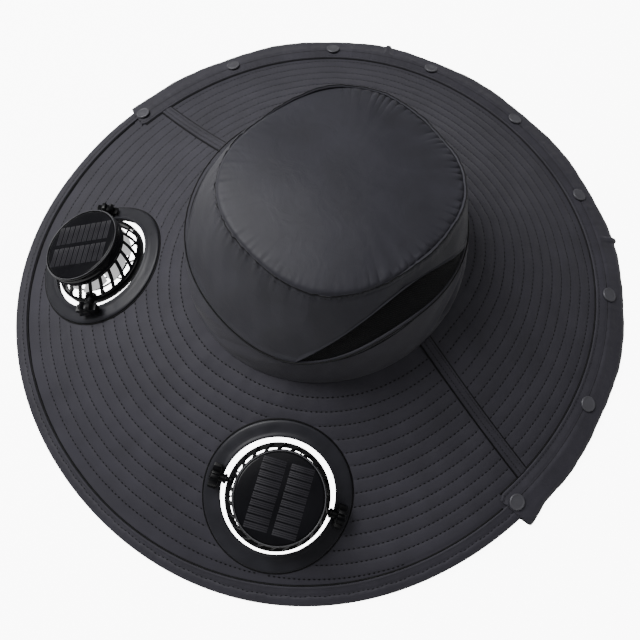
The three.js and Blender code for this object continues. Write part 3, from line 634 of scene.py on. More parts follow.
def plastic_material(
        name, color, roughness, grain=0.15, coat=0.0, scale=900, metallic=0.0, specular=0.5,
        glow=0.0):
    """Moulded plastic: fine grain, and patches that are a little duller. Glow is painted light:
    an even emission standing in for the light that a thin part lets through."""
    material, nodes, links, shader = node_material(name, color, roughness, {
        "Emission Color": (1, 1, 1, 1), "Emission Strength": glow, "Coat Weight": coat,
        "Coat Roughness": 0.06, "Metallic": metallic, "Specular IOR Level": specular})
    place = nodes.new("ShaderNodeTexCoord").outputs["Object"]
    fine = add_texture(nodes, links, "ShaderNodeTexNoise", place, {"Scale": scale, "Detail": 3})
    wear = add_texture(nodes, links, "ShaderNodeTexNoise", place, {"Scale": 70, "Detail": 5})
    rough = set_sockets(nodes.new("ShaderNodeMapRange"), {
        "To Min": max(roughness - 0.06, 0.03), "To Max": roughness + 0.1})
    links.new(wear.outputs["Fac"], rough.inputs["Value"])
    links.new(rough.outputs["Result"], shader.inputs["Roughness"])
    low, high = shaded(color, 0.88, 1.12)
    tone = add_ramp(nodes, links, wear.outputs["Fac"], [(0.35, low), (0.65, high)])
    links.new(tone.outputs["Color"], shader.inputs["Base Color"])
    bump = add_bump(nodes, links, fine.outputs["Fac"], grain, 0.0001)
    links.new(bump.outputs["Normal"], shader.inputs["Normal"])
    return material


CROWN_COLOR = (0.0395, 0.0390, 0.0500)
# The band is the crown's cloth painted lighter: painted light on the band's sides.
BAND_PAINTED_LIGHT_COLOR = (0.0500, 0.0485, 0.0620)
BRIM_COLOR = (0.0430, 0.0410, 0.0540)
TRIM_COLOR = (0.0395, 0.0375, 0.0495)

crown_cloth = cloth_material(
    "crown_cloth", CROWN_COLOR, weave=0.35, crease=0.35, roughness=0.5, sheen=0.05)
band_cloth_painted_lighter = cloth_material("band_cloth_painted_lighter", BAND_PAINTED_LIGHT_COLOR, weave=0.35, crease=0.35)
brim_cloth = cloth_material("brim_cloth", BRIM_COLOR, crease=0.12)
trim_cloth = cloth_material("trim_cloth", TRIM_COLOR, crease=0.35, ripple=0.15, sheen=0.12)
net_thread = cloth_material("net_thread", (0.008, 0.008, 0.010), weave=0.3, sheen=0.05)
net_ground = cloth_material("net_ground", (0.0012, 0.0012, 0.0015), weave=0.3, sheen=0.0)
# Near-black: the stitches, and the painted shadow lines along edges and seams.
stitches_and_painted_shadow = cloth_material("stitches_and_painted_shadow", (0.0018, 0.0018, 0.0024), weave=0.2, sheen=0.0)
trim_thread = cloth_material("trim_thread", (0.030, 0.030, 0.034), weave=0.2)
snap_plastic = plastic_material("snap_plastic", (0.100, 0.099, 0.112), 0.36, metallic=0.2)
flange_vinyl = plastic_material(
    "flange_vinyl", (0.023, 0.023, 0.029), 0.42, grain=0.3, scale=400, specular=0.35)
black_gloss = plastic_material("black_gloss", (0.0035, 0.0035, 0.0045), 0.14, coat=0.4, specular=0.35)
black_satin = plastic_material("black_satin", (0.004, 0.004, 0.005), 0.36, specular=0.3)
# Painted light: the blades glow, standing in for light from below shining through them.
rotor_plastic_painted_glow = plastic_material("rotor_plastic_painted_glow", (0.78, 0.78, 0.80), 0.4, glow=0.55)
# Painted highlight: a light grey for the thin ring on the cap's top edge.
cap_painted_highlight = plastic_material("cap_painted_highlight", (0.11, 0.11, 0.12), 0.25)
motor_metal = plastic_material("motor_metal", (0.35, 0.35, 0.36), 0.3, metallic=1.0)
cell_glaze = plastic_material("cell_glaze", (0.008, 0.008, 0.010), 0.2, specular=0.15)
cell_face = plastic_material("cell_face", (0.034, 0.033, 0.039), 0.3, specular=0.2)


def fan_frame(fan):
    """The frame of a fan's seat: origin on the brim, X along its pivots, Y to the crown, Z up."""
    origin = brim_at(fan["angle"], FAN_SHARE)
    inward = unit(brim_at(fan["angle"], FAN_SHARE - 1e-3) - origin)
    tangent = unit(brim_at(fan["angle"] + 1e-2, FAN_SHARE) - origin)
    up = unit(np.cross(tangent, inward))
    turn = math.radians(fan["turn"])
    across = tangent * math.cos(turn) + np.cross(up, tangent) * math.sin(turn)
    back = unit(np.cross(up, across))
    return axes_frame(np.cross(back, up), up, origin)


def head_frame(fan):
    """The frame of a fan's tilting head, read from the joints: X along its pivots, Z its axis."""
    joints = {joint["name"]: joint for joint in frame["joints"]}
    up = unit(np.array(joints[f"spin_{fan['side']}"]["axis"]))
    across = unit(np.array(joints[f"tilt_{fan['side']}"]["axis"]))
    across = unit(across - up * across.dot(up))
    return axes_frame(across, up, np.array(joints[f"tilt_{fan['side']}"]["pos_m"]) / MM)
def fan_reach(local, fan):
    """Distance from a fan's axis, counted shorter in front where its seat is drawn out."""
    y = local[..., 1]
    return np.hypot(local[..., 0], np.where(y < 0, y / (1 + fan["draw"]), y))


def row_table(angle):
    """Share of the outermost row of stitching at an angle, and the pitch of the rows."""
    front, back = np.array(FRONT_ROWS), np.array(BACK_ROWS)
    ahead = np.abs(wrapped(angle)) < SIDE_SEAM
    return [np.where(ahead, np.interp(wrapped(angle), front[:, 0], front[:, column]),
                     np.interp(np.mod(angle, 360), back[:, 0], back[:, column]))
            for column in (1, 2)]


def row_distance(angle, share):
    """Distance to the nearest row of stitching on the brim."""
    first, pitch = row_table(angle)
    row = np.clip((first - share) / pitch, 0, ROW_COUNT - 1)
    return np.abs(row - np.round(row)) * pitch * brim_width(angle)


def seam_distance(angle, share):
    """Distance to the nearer side seam, along the brim."""
    radius = BASE_HALF_WIDTH + (RIM_HALF_WIDTH - BASE_HALF_WIDTH) * share
    return np.radians(np.abs(np.abs(wrapped(angle)) - SIDE_SEAM)) * radius


def covered(angle, share):
    """1 where something lies on the brim, such as a tape, a fan's flange, or the edge trims."""
    inset = (1 - share) * brim_width(angle)
    back = np.abs(wrapped(angle)) > STRIP_END - 0.5
    edge = np.where(back, STRIP_WIDTH + 1.5, binding_width(angle) + 1.5)
    cover = smoothstep(edge - inset, -1.5, 0)
    cover = np.maximum(cover, 1 - smoothstep(seam_distance(angle, share), 4.6, 6.4))
    cover = np.maximum(cover, 1 - smoothstep(share, 0.012, 0.03))
    points = brim_at(angle, share)
    for fan in FANS:
        reach = fan_reach(in_frame(points, fan_frame(fan)), fan)
        cover = np.maximum(cover, 1 - smoothstep(reach, FLANGE_RADIUS + 0.5, FLANGE_RADIUS + 3))
    return cover


def brim_relief(angle, share):
    """Height of the quilting: grooves along the rows and soft puffs between them."""
    reach = row_distance(angle, share)
    groove = 0.3 * bell(reach, 0.7) + 0.14 * bell(reach, 2.4)
    a = np.radians(angle)
    drift = waves(a, share, [(0.16, 23, 5, 0.3), (0.12, 41, -9, 1.9), (0.08, 67, 14, 4.0)])
    relief = 0.2 - groove + 0.6 * drift
    cover = covered(angle, share)
    return relief * (1 - cover) + np.minimum(relief, 0.02) * cover


def brim_shares(angles):
    """Shares across the brim at each angle, closer together at the rows of stitching."""
    first, pitch = row_table(angles)
    fractions = np.array([-0.4, -0.2, -0.09, 0, 0.09, 0.2, 0.4])
    lines = (np.arange(ROW_COUNT)[:, None] + fractions).ravel()
    lowest = -0.02 + 0.0003 * np.arange(len(lines))[::-1]
    rows = np.maximum(first - pitch * lines[:, None], lowest[:, None])
    beyond = np.linspace(0, 1, 6)[:-1, None]
    outer = 1 + (rows[0] - 1) * beyond
    within = np.linspace(0, 1, 9)[1:, None]
    inner = rows[-1] + (-ALLOWANCE / BRIM_SPAN - rows[-1]) * within
    return np.concatenate([outer, rows, inner])[::-1]


def brim_panel(name, start, end, fans):
    angles = np.linspace(start, end, int((end - start) / 0.55) + 1)
    inside = np.clip(angles, start + 0.05, end - 0.05)
    share = brim_shares(inside)
    angle = np.broadcast_to(angles, share.shape)
    flat = brim_at(angle, share)
    normals = grid_normals(flat)
    normals *= np.sign(normals[..., 2:])
    outer = flat + normals * brim_relief(angle, share)[..., None]
    under_groove = 0.5 * bell(row_distance(angle, share), 1.0)
    inner = flat + stacked(0.0, 0.0, under_groove - BRIM_WALL)
    keep = np.ones((flat.shape[0] - 1, flat.shape[1] - 1), bool)
    for fan in fans:
        matrix = fan_frame(fan)
        reach = fan_reach(in_frame(flat, matrix), fan)
        middle = (reach[:-1, :-1] + reach[1:, :-1] + reach[:-1, 1:] + reach[1:, 1:]) / 4
        keep &= middle > HOLE_RADIUS
        cut = np.zeros(reach.shape, bool)
        for dr in (0, 1):
            for dc in (0, 1):
                cut[dr:dr + middle.shape[0], dc:dc + middle.shape[1]] |= middle <= HOLE_RADIUS
        near = cut & (reach > HOLE_RADIUS - 4)
        for skin in (outer, inner):
            place = in_frame(skin, matrix)
            place[..., :2] *= (HOLE_RADIUS / fan_reach(place, fan))[..., None]
            skin[near] = from_frame(place, matrix)[near]
    around = np.radians(angle) * (BASE_HALF_WIDTH + BRIM_SPAN * share)
    uv = np.stack([around, share * BRIM_SPAN], axis=-1)
    form = add_sheet(Form(), outer, inner, keep=keep, uv=uv)
    make_piece(f"{name}_cloth", form, [brim_cloth], "root", [name])


def brim_stitches():
    form = Form()
    angles = np.linspace(-180, 180, 1441)
    first, pitch = row_table(angles)
    for row in range(ROW_COUNT):
        share = first - pitch * row
        seats, along, where = spaced(brim_at(angles, share), STITCH_PITCH, angles)
        shares = np.interp(where, angles, share)
        inward = brim_at(where, shares - 0.01) - seats
        up = unit(np.cross(along, inward))
        up *= np.sign(up[:, 2:])
        show = (covered(where, shares) < 0.3) & (shares > 0.03)
        seats = seats + up * (brim_relief(where, shares) + 0.1)[:, None]
        seats, along, up = seats[show], along[show], up[show]
        # Near-black lozenges: the stitches, with painted shade in their needle holes.
        add_stitches(form, seats, along, up, 2.2, 1.35, 0.25)
        beside = seats + along * STITCH_PITCH / 2 + np.cross(up, along) * 0.5
        add_stitches(form, beside, along, up, 0.9, 0.6, 0.2, kind=1)
    make_piece("brim_stitches", form, [stitches_and_painted_shadow, trim_thread], "root")


def seam_tape(side):
    sign = 1 if side == "left" else -1
    across = sign * np.array(
        [-1, -0.95, -0.85, -0.6, -0.42, -0.3, -0.18, 0.05, 0.3, 0.5, 0.62, 0.74, 0.88, 0.95, 1])
    middle = sign * SIDE_SEAM
    insets = np.linspace(brim_width(middle) - GAP, STRIP_WIDTH + GAP, 130)
    inset, t = np.meshgrid(insets, across, indexing="ij")
    share = 1 - inset / brim_width(middle)
    per_degree = np.linalg.norm(brim_at(middle + 0.5, share) - brim_at(middle - 0.5, share), axis=-1)
    low = brim_at(middle + t * TAPE_WIDTH / 2 / per_degree, share) + [0, 0, GAP]
    edge = 1 - np.abs(t)
    place = sign * t
    rise = TAPE_WALL * (0.3 + 0.7 * smoothstep(edge, 0, 0.06))
    rise = rise + 0.1 * np.sin(inset * 0.9 + 3 * t) * edge
    for seam in TAPE_SEAMS:
        rise = rise - 0.5 * bell(place - seam, 0.08)
    rise = rise + 0.5 * bell(place - 0.12, 0.2) + 0.2 * bell(place + 0.72, 0.12)
    high = low + stacked(0, 0, np.maximum(rise, 0.15))
    uv = np.stack([t * TAPE_WIDTH / 2, inset], axis=-1)
    form = add_sheet(Form(), high, low, uv=uv)
    for seam in TAPE_SEAMS:
        index = int(np.argmin(np.abs(across - sign * seam)))
        stitch_along(form, high[:, index], 2.6, 0.05, 2.0, 0.8)
    # Painted shadow: dark lines along the tape's two edges, where it meets the brim.
    for place, width in ((-1.1, 1.5), (1.08, 1.1)):
        foot = brim_at(middle + sign * place * TAPE_WIDTH / 2 / per_degree[:, 0], share[:, 0])
        add_painted_shadow_line(form, foot + [0, 0, 0.45], width)
    make_piece(
        f"seam_tape_{side}_cloth", form, [trim_cloth, stitches_and_painted_shadow], "root",
        [f"seam_tape_{side}"])


def edge_section(angles, table, skew=0.0):
    """Sections beside the rim from rows of inset and rise, which is above the brim's upper
    surface or above the floor. Skew turns the outer rows back and the inner rows forward."""
    points = []
    for inset, rise, *on_floor in table:
        line = rim_at(angles + skew * (1 - 2 * inset / STRIP_WIDTH), inset)
        line[:, 2] = rise if on_floor else line[:, 2] + rise
        points.append(line)
    return np.stack(points, axis=1)


def binding_width(angle):
    """The binding shows wider towards the wearer's left, where it is folded less tightly."""
    turn = wrapped(angle)
    return BINDING_WIDTH - 2.7 + 2.7 * smoothstep(turn, 5, 50) * (1 - smoothstep(turn, 110, 175))


def edge_binding():
    angles = np.linspace(-180, 180, 721)[:-1]
    top, under = GAP + BINDING_WALL, -(BRIM_WALL + GAP)
    base = under - BINDING_WALL
    sole = rim_top(angles) + base
    arc = np.radians(angles) * RIM_HALF_WIDTH
    width = binding_width(angles)
    pucker = waves(arc, 0.0, [(0.05, 1.15, 0, 0.4), (0.05, 0.72, 0, 2.0), (0.06, 0.31, 0, 5.1)])
    seam = 5.3 + 0.25 * np.sin(0.37 * arc) + 0.2 * np.sin(0.83 * arc + 1)
    table = [
        (width, GAP + 0.1), (width - 0.1, top - 0.1), (width - 0.6, top + 0.35),
        (width - 1.3, top + 0.38), (width - 1.9, top + 0.05),
        (width - 2.6, top + 0.05 + 0.5 * pucker), (seam + 0.7, top + 0.05 + pucker),
        (seam, top - 0.3 + pucker), (seam - 0.7, top + 0.12 + pucker),
        (seam - 2.0, top + 0.35 + pucker), (2.0, top + 0.32 + 0.5 * pucker), (0.8, top + 0.1),
        (-0.3, top - 0.3), (-0.9, top - 0.8), (-1.1, top - 1.5), (-1.1, -1.7),
        (-0.9, sole + 0.25, ON_FLOOR), (-0.4, sole, ON_FLOOR), (FOOT, sole, ON_FLOOR),
        (6.0, base), (width, base), (width, under), (FOOT, under), (-0.25, under),
        (-0.28, 0.0), (-0.2, GAP), (6.0, GAP),
    ]
    sections = edge_section(angles, table)
    uv = lay_grid(arc, np.linspace(0, 2 * BINDING_WIDTH, len(table)))
    form = add_loop(Form(), sections, closed=True, uv=uv)
    shown = np.abs(angles) < STRIP_END + 1
    stitch_along(form, sections[shown, 7], 3.3, 0.12, 2.1, 0.9, slant=0.3)
    # Painted shadow: a dark line on the brim along the binding's inner edge.
    shown = np.abs(angles) < STRIP_END - 0.5
    add_painted_shadow_line(form, rim_at(angles[shown], width[shown] + 0.55, 0.35), 1.2)
    make_piece(
        "edge_binding_cloth", form, [trim_cloth, stitches_and_painted_shadow], "root",
        ["edge_binding"])


def tuck_at(angle):
    half = math.degrees(TUCK_WIDTH / 2 / RIM_HALF_LENGTH)
    return 1 - smoothstep(np.abs(np.abs(wrapped(angle)) - TUCK_ANGLE), half * 0.3, half)


def edge_strip():
    near_tuck = np.linspace(TUCK_ANGLE - 1.5, TUCK_ANGLE + 1.5, 31)
    angles = np.unique(np.concatenate([
        np.linspace(STRIP_END, 360 - STRIP_END, 551), near_tuck, 360 - near_tuck]))
    over = GAP + BINDING_WALL + GAP
    step = BINDING_WIDTH + 2 * GAP
    under = -(BRIM_WALL + over)
    base = under - STRIP_WALL
    sole = rim_top(angles) + base
    lay, crest = GAP + STRIP_WALL, over + STRIP_WALL
    arc = np.radians(angles) * RIM_HALF_WIDTH
    tuck = tuck_at(angles)
    between = 0.5 - 0.5 * np.cos(np.radians((angles - 180) * 360 / SNAP_PITCH))
    near_start = 1 - smoothstep(angles - STRIP_END, 0, 7)
    near_finish = 1 - smoothstep(360 - STRIP_END - angles, 0, 7)
    bulge = STRIP_SLACK + STRIP_RIPPLE * between + TUCK_RISE * tuck
    bulge = bulge + waves(arc, 0.0, [(0.15, 0.21, 0, 1.0), (0.1, 0.47, 0, 3.0)])
    bulge = bulge + END_FLARE * (near_start + 0.3 * near_finish)
    nose = -(over + bulge)
    pucker = waves(arc, 0.0, [(0.10, 0.9, 0, 0.2), (0.10, 0.55, 0, 2.5), (0.13, 0.23, 0, 4.4)])
    swell = 0.5 * between + pucker
    end = smoothstep(np.minimum(angles - STRIP_END, 360 - STRIP_END - angles), 0, 1.3)
    width = STRIP_WIDTH - 2.6 * (1 - end)
    table = [
        (width, GAP + 0.15), (width - 0.35, lay), (width - 1.6, lay + 0.15 + 0.6 * pucker),
        (width - 2.6, lay - 0.2), (width - 3.8, lay + 0.25 + pucker),
        (step + 1.5, crest - 0.35), (step, crest + 0.1 + pucker), (step - 1.4, crest - 0.3),
        (step - 2.6, crest + 0.35 + swell), (6.5, crest + 0.15 + swell + 0.5 * tuck),
        (3.0, crest + 0.5 * swell + tuck), (0.0, crest + 0.7 * tuck),
        (nose * 0.55, crest - 0.55 + 0.8 * tuck), (nose - 0.75 * STRIP_WALL, -0.1 + 0.4 * tuck),
        (nose - STRIP_WALL, -1.2), (nose - 0.6 * STRIP_WALL, sole + 0.9, ON_FLOOR),
        (nose + 0.4, sole, ON_FLOOR), (FOOT, sole, ON_FLOOR), (9.0, base), (width, base),
        (width, under), (9.0, under), (FOOT, sole + STRIP_WALL, ON_FLOOR),
        (nose + 1.4, sole + STRIP_WALL, ON_FLOOR), (nose + 0.55, sole + 1.7, ON_FLOOR),
        (nose, -1.1), (nose + 0.2, -0.3), (nose * 0.5, over - 0.5), (0.0, over), (3.0, over),
        (6.5, over), (step - 2.8, over), (step - 1.4, over), (step, over),
        (step + 1.5, GAP + 0.15), (width - 3.8, GAP), (width - 2.6, GAP), (width - 1.6, GAP),
        (width - 0.35, GAP), (width, GAP - 0.05),
    ]
    sections = edge_section(angles, table, END_SKEW * (near_start - near_finish))
    uv = lay_grid(arc, 2.0 * np.arange(len(table)))
    form = add_loop(Form(), sections, closed=False, uv=uv)
    for index in (3, 7):
        stitch_along(form, sections[:, index], 3.0, 0.06, 1.8, 0.6)
    # Painted shadow: a dark line on the brim along the strip's inner edge.
    add_painted_shadow_line(form, rim_at(angles, STRIP_WIDTH + 0.5, 0.35), 1.3)
    # A dark line along the stitched groove: the stitching, with painted shade in the groove.
    add_painted_shadow_line(form, sections[:, 7] + [0, 0, 0.02], 0.8, 0.12)
    make_piece(
        "edge_strip_cloth", form, [trim_cloth, stitches_and_painted_shadow], "root",
        ["edge_strip"])


def snap_cap(number):
    """A snap's cap: a rolled rim round a shallow dished face, on a thin washer."""
    angle = 180 + (number - (SNAP_COUNT - 1) / 2) * SNAP_PITCH
    rise = GAP + BINDING_WALL + GAP + STRIP_WALL
    seat = rim_at(angle, SNAP_INSET, rise)
    out = unit(rim_at(angle, SNAP_INSET - 1, rise) - seat)
    around = unit(rim_at(angle + 1, SNAP_INSET, rise) - seat)
    up = unit(np.cross(out, around))
    radius = SNAP_RADIUS
    profile = [(0, 0), (radius * 0.94, 0), (radius, 0.25), (radius, 0.75), (radius * 0.97, 1.1),
               (radius * 0.91, 1.35), (radius * 0.84, 1.38), (radius * 0.78, 1.22),
               (radius * 0.7, 1.16), (radius * 0.4, 1.3), (radius * 0.15, 1.36), (0, 1.37)]
    form = add_turned(Form(), profile, 40).place(axes_frame(out, up, seat + up * GAP))
    name = f"snap_{number + 1}"
    make_piece(f"{name}_cap", form, [snap_plastic], "root", [name])
def band_relief(angle, share):
    """Soft folds of the band: slanting creases on the wearer's right, pleats on the left."""
    a = wrapped(angle)
    relief = waves(np.radians(a), share, [(0.25, 9, 3, 0.4), (0.18, 17, -6, 2.0)])
    for centre, slope, size, width, low, high in BAND_FOLDS:
        line = a - (centre + slope * share)
        along = smoothstep(share, low - 0.12, low + 0.12)
        along = along * (1 - smoothstep(share, high - 0.15, high + 0.1))
        relief = relief + size * bell(line, width) * along
    return relief * smoothstep(share, 0.0, 0.12) * (1 - smoothstep(share, 0.93, 1.0))


def crown_band():
    angles = np.linspace(-180, 180, 601)[:-1]
    shares = np.concatenate([[0, 0.02], np.linspace(0.06, 0.93, 26), [0.96, 0.985, 1.0]])
    angle, share = np.meshgrid(angles, shares)
    lap = 0.15 * bell(np.abs(wrapped(angle)) - 74, 26)

    def skin(wall):
        foot = brim_at(angle, -wall / brim_width(angle)) + [0, 0, GAP]
        t = share[..., None]
        points = foot * (1 - t) + crown_side_at(angle, lap, wall) * t
        points[..., 2] -= share * (1 - share) * BAND_WALL
        return points

    a = np.radians(angle)
    normals = outward(a, 0.25)
    relief = band_relief(angle, share)[..., None]
    hem = 0.35 * bell(share - 0.955, 0.02)[..., None]
    outer = skin(0.0) + normals * (relief + 0.2 + 4 * lap[..., None] - hem)
    inner = skin(BAND_WALL) + normals * np.clip(relief * 0.7 - 0.2, -1.2, 1.2)
    uv = np.stack([a * BASE_HALF_WIDTH, share * BAND_SPAN], axis=-1)
    form = add_sheet(Form(), outer, inner, closed=True, uv=uv)
    # Painted shadow: a dark line along the band's top edge.
    add_painted_shadow_line(form, outer[-1] + outward(a[0]) * 0.8 + [0, 0, 0.3], 0.9, 0.3, closed=True)
    make_piece(
        "crown_band_cloth", form, [band_cloth_painted_lighter, stitches_and_painted_shadow], "root",
        ["crown_band"])


def seam_puckers(angle):
    """Fine pulls along the crown's seam, strongest at the front right of the wearer."""
    a = np.radians(angle)
    pulls = waves(a, 0.0, [(0.55, 61, 0, 0.5), (0.45, 97, 0, 1.4), (0.35, 39, 0, 3.3)])
    return pulls * (0.45 + 0.55 * bell(wrapped(angle) + 25, 40))


def crown_side():
    angles = np.linspace(-180, 180, 721)[:-1]
    rows = np.concatenate([
        [0, 0.015, 0.05], np.linspace(0.1, 0.86, 24), [0.9, 0.93, 0.955, 0.975, 1]])
    angle, row = np.meshgrid(angles, rows)
    height = crown_seam(angle)[..., 2] - band_top(angle)[..., 2]
    low = np.maximum(window_share(angle), 0) + GAP / height
    share = low + (1 - GAP / height - low) * row
    a = np.radians(angle)
    normals = outward(a, 0.35)
    below = (1 - share) * height
    back = smoothstep(np.abs(wrapped(angle)), 60, 110)
    relief = 0.55 * seam_puckers(angle) * np.exp(-below / 4.5) * (1 - 0.4 * back)
    relief = relief + waves(a, share, [(0.35, 7, 2.5, 0.8), (0.25, 13, -5, 2.9), (0.12, 29, 9, 1.0)])
    relief = relief * smoothstep(row, 0, 0.08)
    lip = 1.3 * back * bell(below - 1.2, 1.8)
    topstitch = 0.3 * (1 - back) * bell(below - 2.2, 0.5)
    hem = 0.3 * bell(row - 0.05, 0.02) * (window_share(angle) > 0)
    lap = 0.7 * (1 - smoothstep(row, 0.0, 0.06))
    move = (relief + lip + lap - topstitch - hem)[..., None]
    rise = stacked(0, 0, 1.5 * back * np.exp(-below / 3.0))
    outer = crown_side_at(angle, share) + normals * move + rise
    inner = crown_side_at(angle, share, CLOTH_WALL) + normals * np.clip(move * 0.6, -1.5, 1.0) + rise
    uv = np.stack([a * SEAM_HALF_LENGTH, share * CROWN_SPAN], axis=-1)
    form = add_sheet(Form(), outer, inner, closed=True, uv=uv)
    seats, along, _ = spaced(outer[-3], 3.2)
    up = unit(np.cross(along, [0.0, 0.0, 1.0]))
    up *= np.sign(np.einsum("ij,ij->i", up, seats - [0, SEAM_SHIFT, 0]))[:, None]
    add_stitches(form, seats + up * 0.05, along, up, 2.0, 0.55, 0.18, kind=1)
    # Painted shade: a dark line along the seam at the top of the side.
    add_painted_shadow_line(form, outer[-1] + outward(a[0]) * 0.1 + [0, 0, 0.1], 0.6, closed=True, kind=2)
    make_piece(
        "crown_side_cloth", form, [crown_cloth, trim_thread, stitches_and_painted_shadow], "root",
        ["crown_side"])


def crown_top():
    """The crown's top: a soft dome pulled into the seam, with folds along its back and left."""
    angles = np.linspace(-180, 180, 1081)[:-1]
    shares = np.concatenate([
        [1, 0.994, 0.986], np.linspace(0.978, 0.84, 16), np.linspace(0.82, 0.5, 8),
        np.linspace(0.44, 0.04, 7)])
    centre = np.array([0, SEAM_SHIFT, BASE_HEIGHT + CROWN_HEIGHT])

    def skins(angle, share):
        points = centre + (crown_seam(angle) - centre) * share[..., None]
        rise, gathers = crown_top_rise(angle, share, points)
        dome = DOME_RISE * (1 - share ** 2.4)
        outer = points + stacked(0, 0, GAP + CLOTH_WALL + dome + rise)
        under = np.minimum(dome + rise, dome + 0.8 * gathers)
        return outer, points + stacked(0, 0, GAP + np.maximum(under, 0))

    angle, share = np.meshgrid(angles, shares)
    outer, inner = skins(angle, share)
    tips = np.concatenate(skins(np.zeros(1), np.zeros(1)))
    form = add_sheet(Form(), outer, inner, closed=True, uv=outer[..., :2], tips=tips)
    make_piece("crown_top_cloth", form, [crown_cloth], "root", ["crown_top"])


def crown_top_rise(angle, share, points):
    """Height that the gathers, pulls and soft waves add to the dome, and the gathers alone."""
    a = np.radians(angle)
    inset = (1 - share) * SEAM_HALF_LENGTH
    side = wrapped(angle - 118)
    back = smoothstep(side, -62, -35) * (1 - smoothstep(side, 62, 100))
    far = smoothstep(np.abs(wrapped(angle)), 118, 150)
    amount = np.maximum(back, far) * (0.75 + 0.25 * np.sin(9 * a + 1) * np.sin(4 * a))
    lean = 0.05 * np.sin(3 * a + 2) * np.minimum(inset, 12)
    phase = 78 * a + 1.6 * np.sin(7 * a) + 1.1 * np.sin(17 * a + 1) + lean
    folds = np.abs(np.sin(phase / 2)) ** 0.6 - 0.7
    reach = 4.2 + 1.6 * np.sin(7 * a + 0.5) + 1.2 * np.sin(13 * a) + 3.5 * far * (1 - back)
    fade = smoothstep(inset, 0.2, 1.4) * np.exp(-(np.maximum(inset - 1, 0) / reach) ** 1.4)
    broad = np.sin(26 * a + 1.3 * np.sin(5 * a)) * smoothstep(inset, 1, 5) * np.exp(-inset / 13)
    gathers = 2.1 * folds * fade * amount + 0.7 * broad * amount
    pulls = 0.2 * seam_puckers(angle) * smoothstep(inset, 0.2, 2) * np.exp(-inset / 5)
    soft = waves(points[..., 0], points[..., 1], [(0.4, 0.05, 0.03, 0.5), (0.3, -0.035, 0.07, 1.7)])
    tuck_in = 1.7 * np.exp(-inset / 1.0)
    return gathers + pulls + soft * (1 - share ** 6) - tuck_in, gathers


def mesh_vent(side):
    """Fine net: two crossing sets of thin threads over a dark knitted backing."""
    sign = 1 if side == "left" else -1
    inset = 0.2
    start, end = WINDOW_ANGLE - WINDOW_HALF_SPAN + inset, WINDOW_ANGLE + WINDOW_HALF_SPAN - inset
    angle, row = np.meshgrid(sign * np.linspace(start, end, 140), np.linspace(0, 1, 30))
    height = crown_seam(angle)[..., 2] - band_top(angle)[..., 2]
    low = GAP / height
    share = low + (window_share(angle) + 2 * low) * row
    a = np.radians(angle)
    slack = outward(a, 0.35) * (0.8 * np.sin(np.pi * row))[..., None]
    outer = crown_side_at(angle, share, 0.45) - slack
    inner = crown_side_at(angle, share, MESH_WALL) - slack
    uv = np.stack([a * BAND_HALF_LENGTH, share * CROWN_SPAN], axis=-1)
    form = add_sheet(Form(), outer, inner, uv=uv)
    climb = np.linspace(0, 1, 26)
    for slant in (-1, 1):
        for turn in np.arange(start - 30, end + 30, 1.05):
            heights = climb * WINDOW_SHARE
            where = turn + slant * climb * 24
            inside = (heights < window_share(where) - 0.012) & (where > start) & (where < end)
            if inside.sum() < 2:
                continue
            where, heights = sign * where[inside], heights[inside]
            net_row = heights / np.maximum(window_share(where), 0.02)
            line = crown_side_at(where, np.maximum(heights, 0.01), 0.45)
            out = outward(np.radians(where), 0.35)
            line = line + out * (0.12 - 0.8 * np.sin(np.pi * np.clip(net_row, 0, 1)))[:, None]
            along = unit(np.gradient(line, axis=0))
            across = unit(np.cross(out, along)) * 0.17
            thick = out * 0.13
            sections = np.stack([line + across, line + thick, line - across, line - thick], axis=1)
            add_loop(form, sections, closed=False, kind=1)
    make_piece(
        f"mesh_vent_{side}_net", form, [net_ground, net_thread], "root",
        [f"mesh_vent_{side}"])


def fan_flange(fan):
    """The soft ring round a fan's hole: a rounded lip at the bore and a thin outer edge."""
    up = fan_frame(fan)[:3, 2]
    turns = np.linspace(0, 2 * np.pi, 145)[:-1]
    bore, edge, wall = FLANGE_BORE, FLANGE_RADIUS, FLANGE_WALL
    lip = wall + FLANGE_LIP
    table = [
        (bore + 0.25, 0.15), (bore, 0.5), (bore, lip - 0.6), (bore + 0.3, lip - 0.15),
        (bore + 0.9, lip), (bore + 1.8, lip - 0.15), (bore + 2.6, wall + 0.35),
        (bore + 3.6, wall + 0.1), (bore + 5.5, wall), (bore + 7.5, wall - 0.1),
        (edge - 1.6, wall - 0.25), (edge - 0.7, wall - 0.45), (edge - 0.2, wall - 0.85),
        (edge, 0.35), (edge - 0.1, 0.0), ((bore + edge) / 2, 0.0),
    ]
    sections = []
    for radius, rise in table:
        dimple = 0 * turns
        if bore + 3 < radius < edge - 1 and rise > 1:
            dimple = -0.35 * bell(radius - bore - 5.5, 1.6) * bell(np.degrees(turns) % 45 - 22.5, 3.0)
            dimple = dimple + 0.12 * np.sin(3 * turns + 1) + 0.08 * np.sin(7 * turns)
        sections.append(on_brim(fan, turns, radius) + up * (FLANGE_SEAT + rise + dimple)[:, None])
    uv = lay_grid(44 * turns, 1.5 * np.arange(len(table)))
    form = add_loop(Form(), np.stack(sections, axis=1), closed=True, uv=uv)
    # Painted shadow: a dark line on the brim round the flange's outer edge.
    add_painted_shadow_line(form, on_brim(fan, turns, edge + 0.5) + up * 0.3, 1.1, closed=True)
    name = f"fan_flange_{fan['side']}"
    make_piece(f"{name}_vinyl", form, [flange_vinyl, stitches_and_painted_shadow], "root", [name])


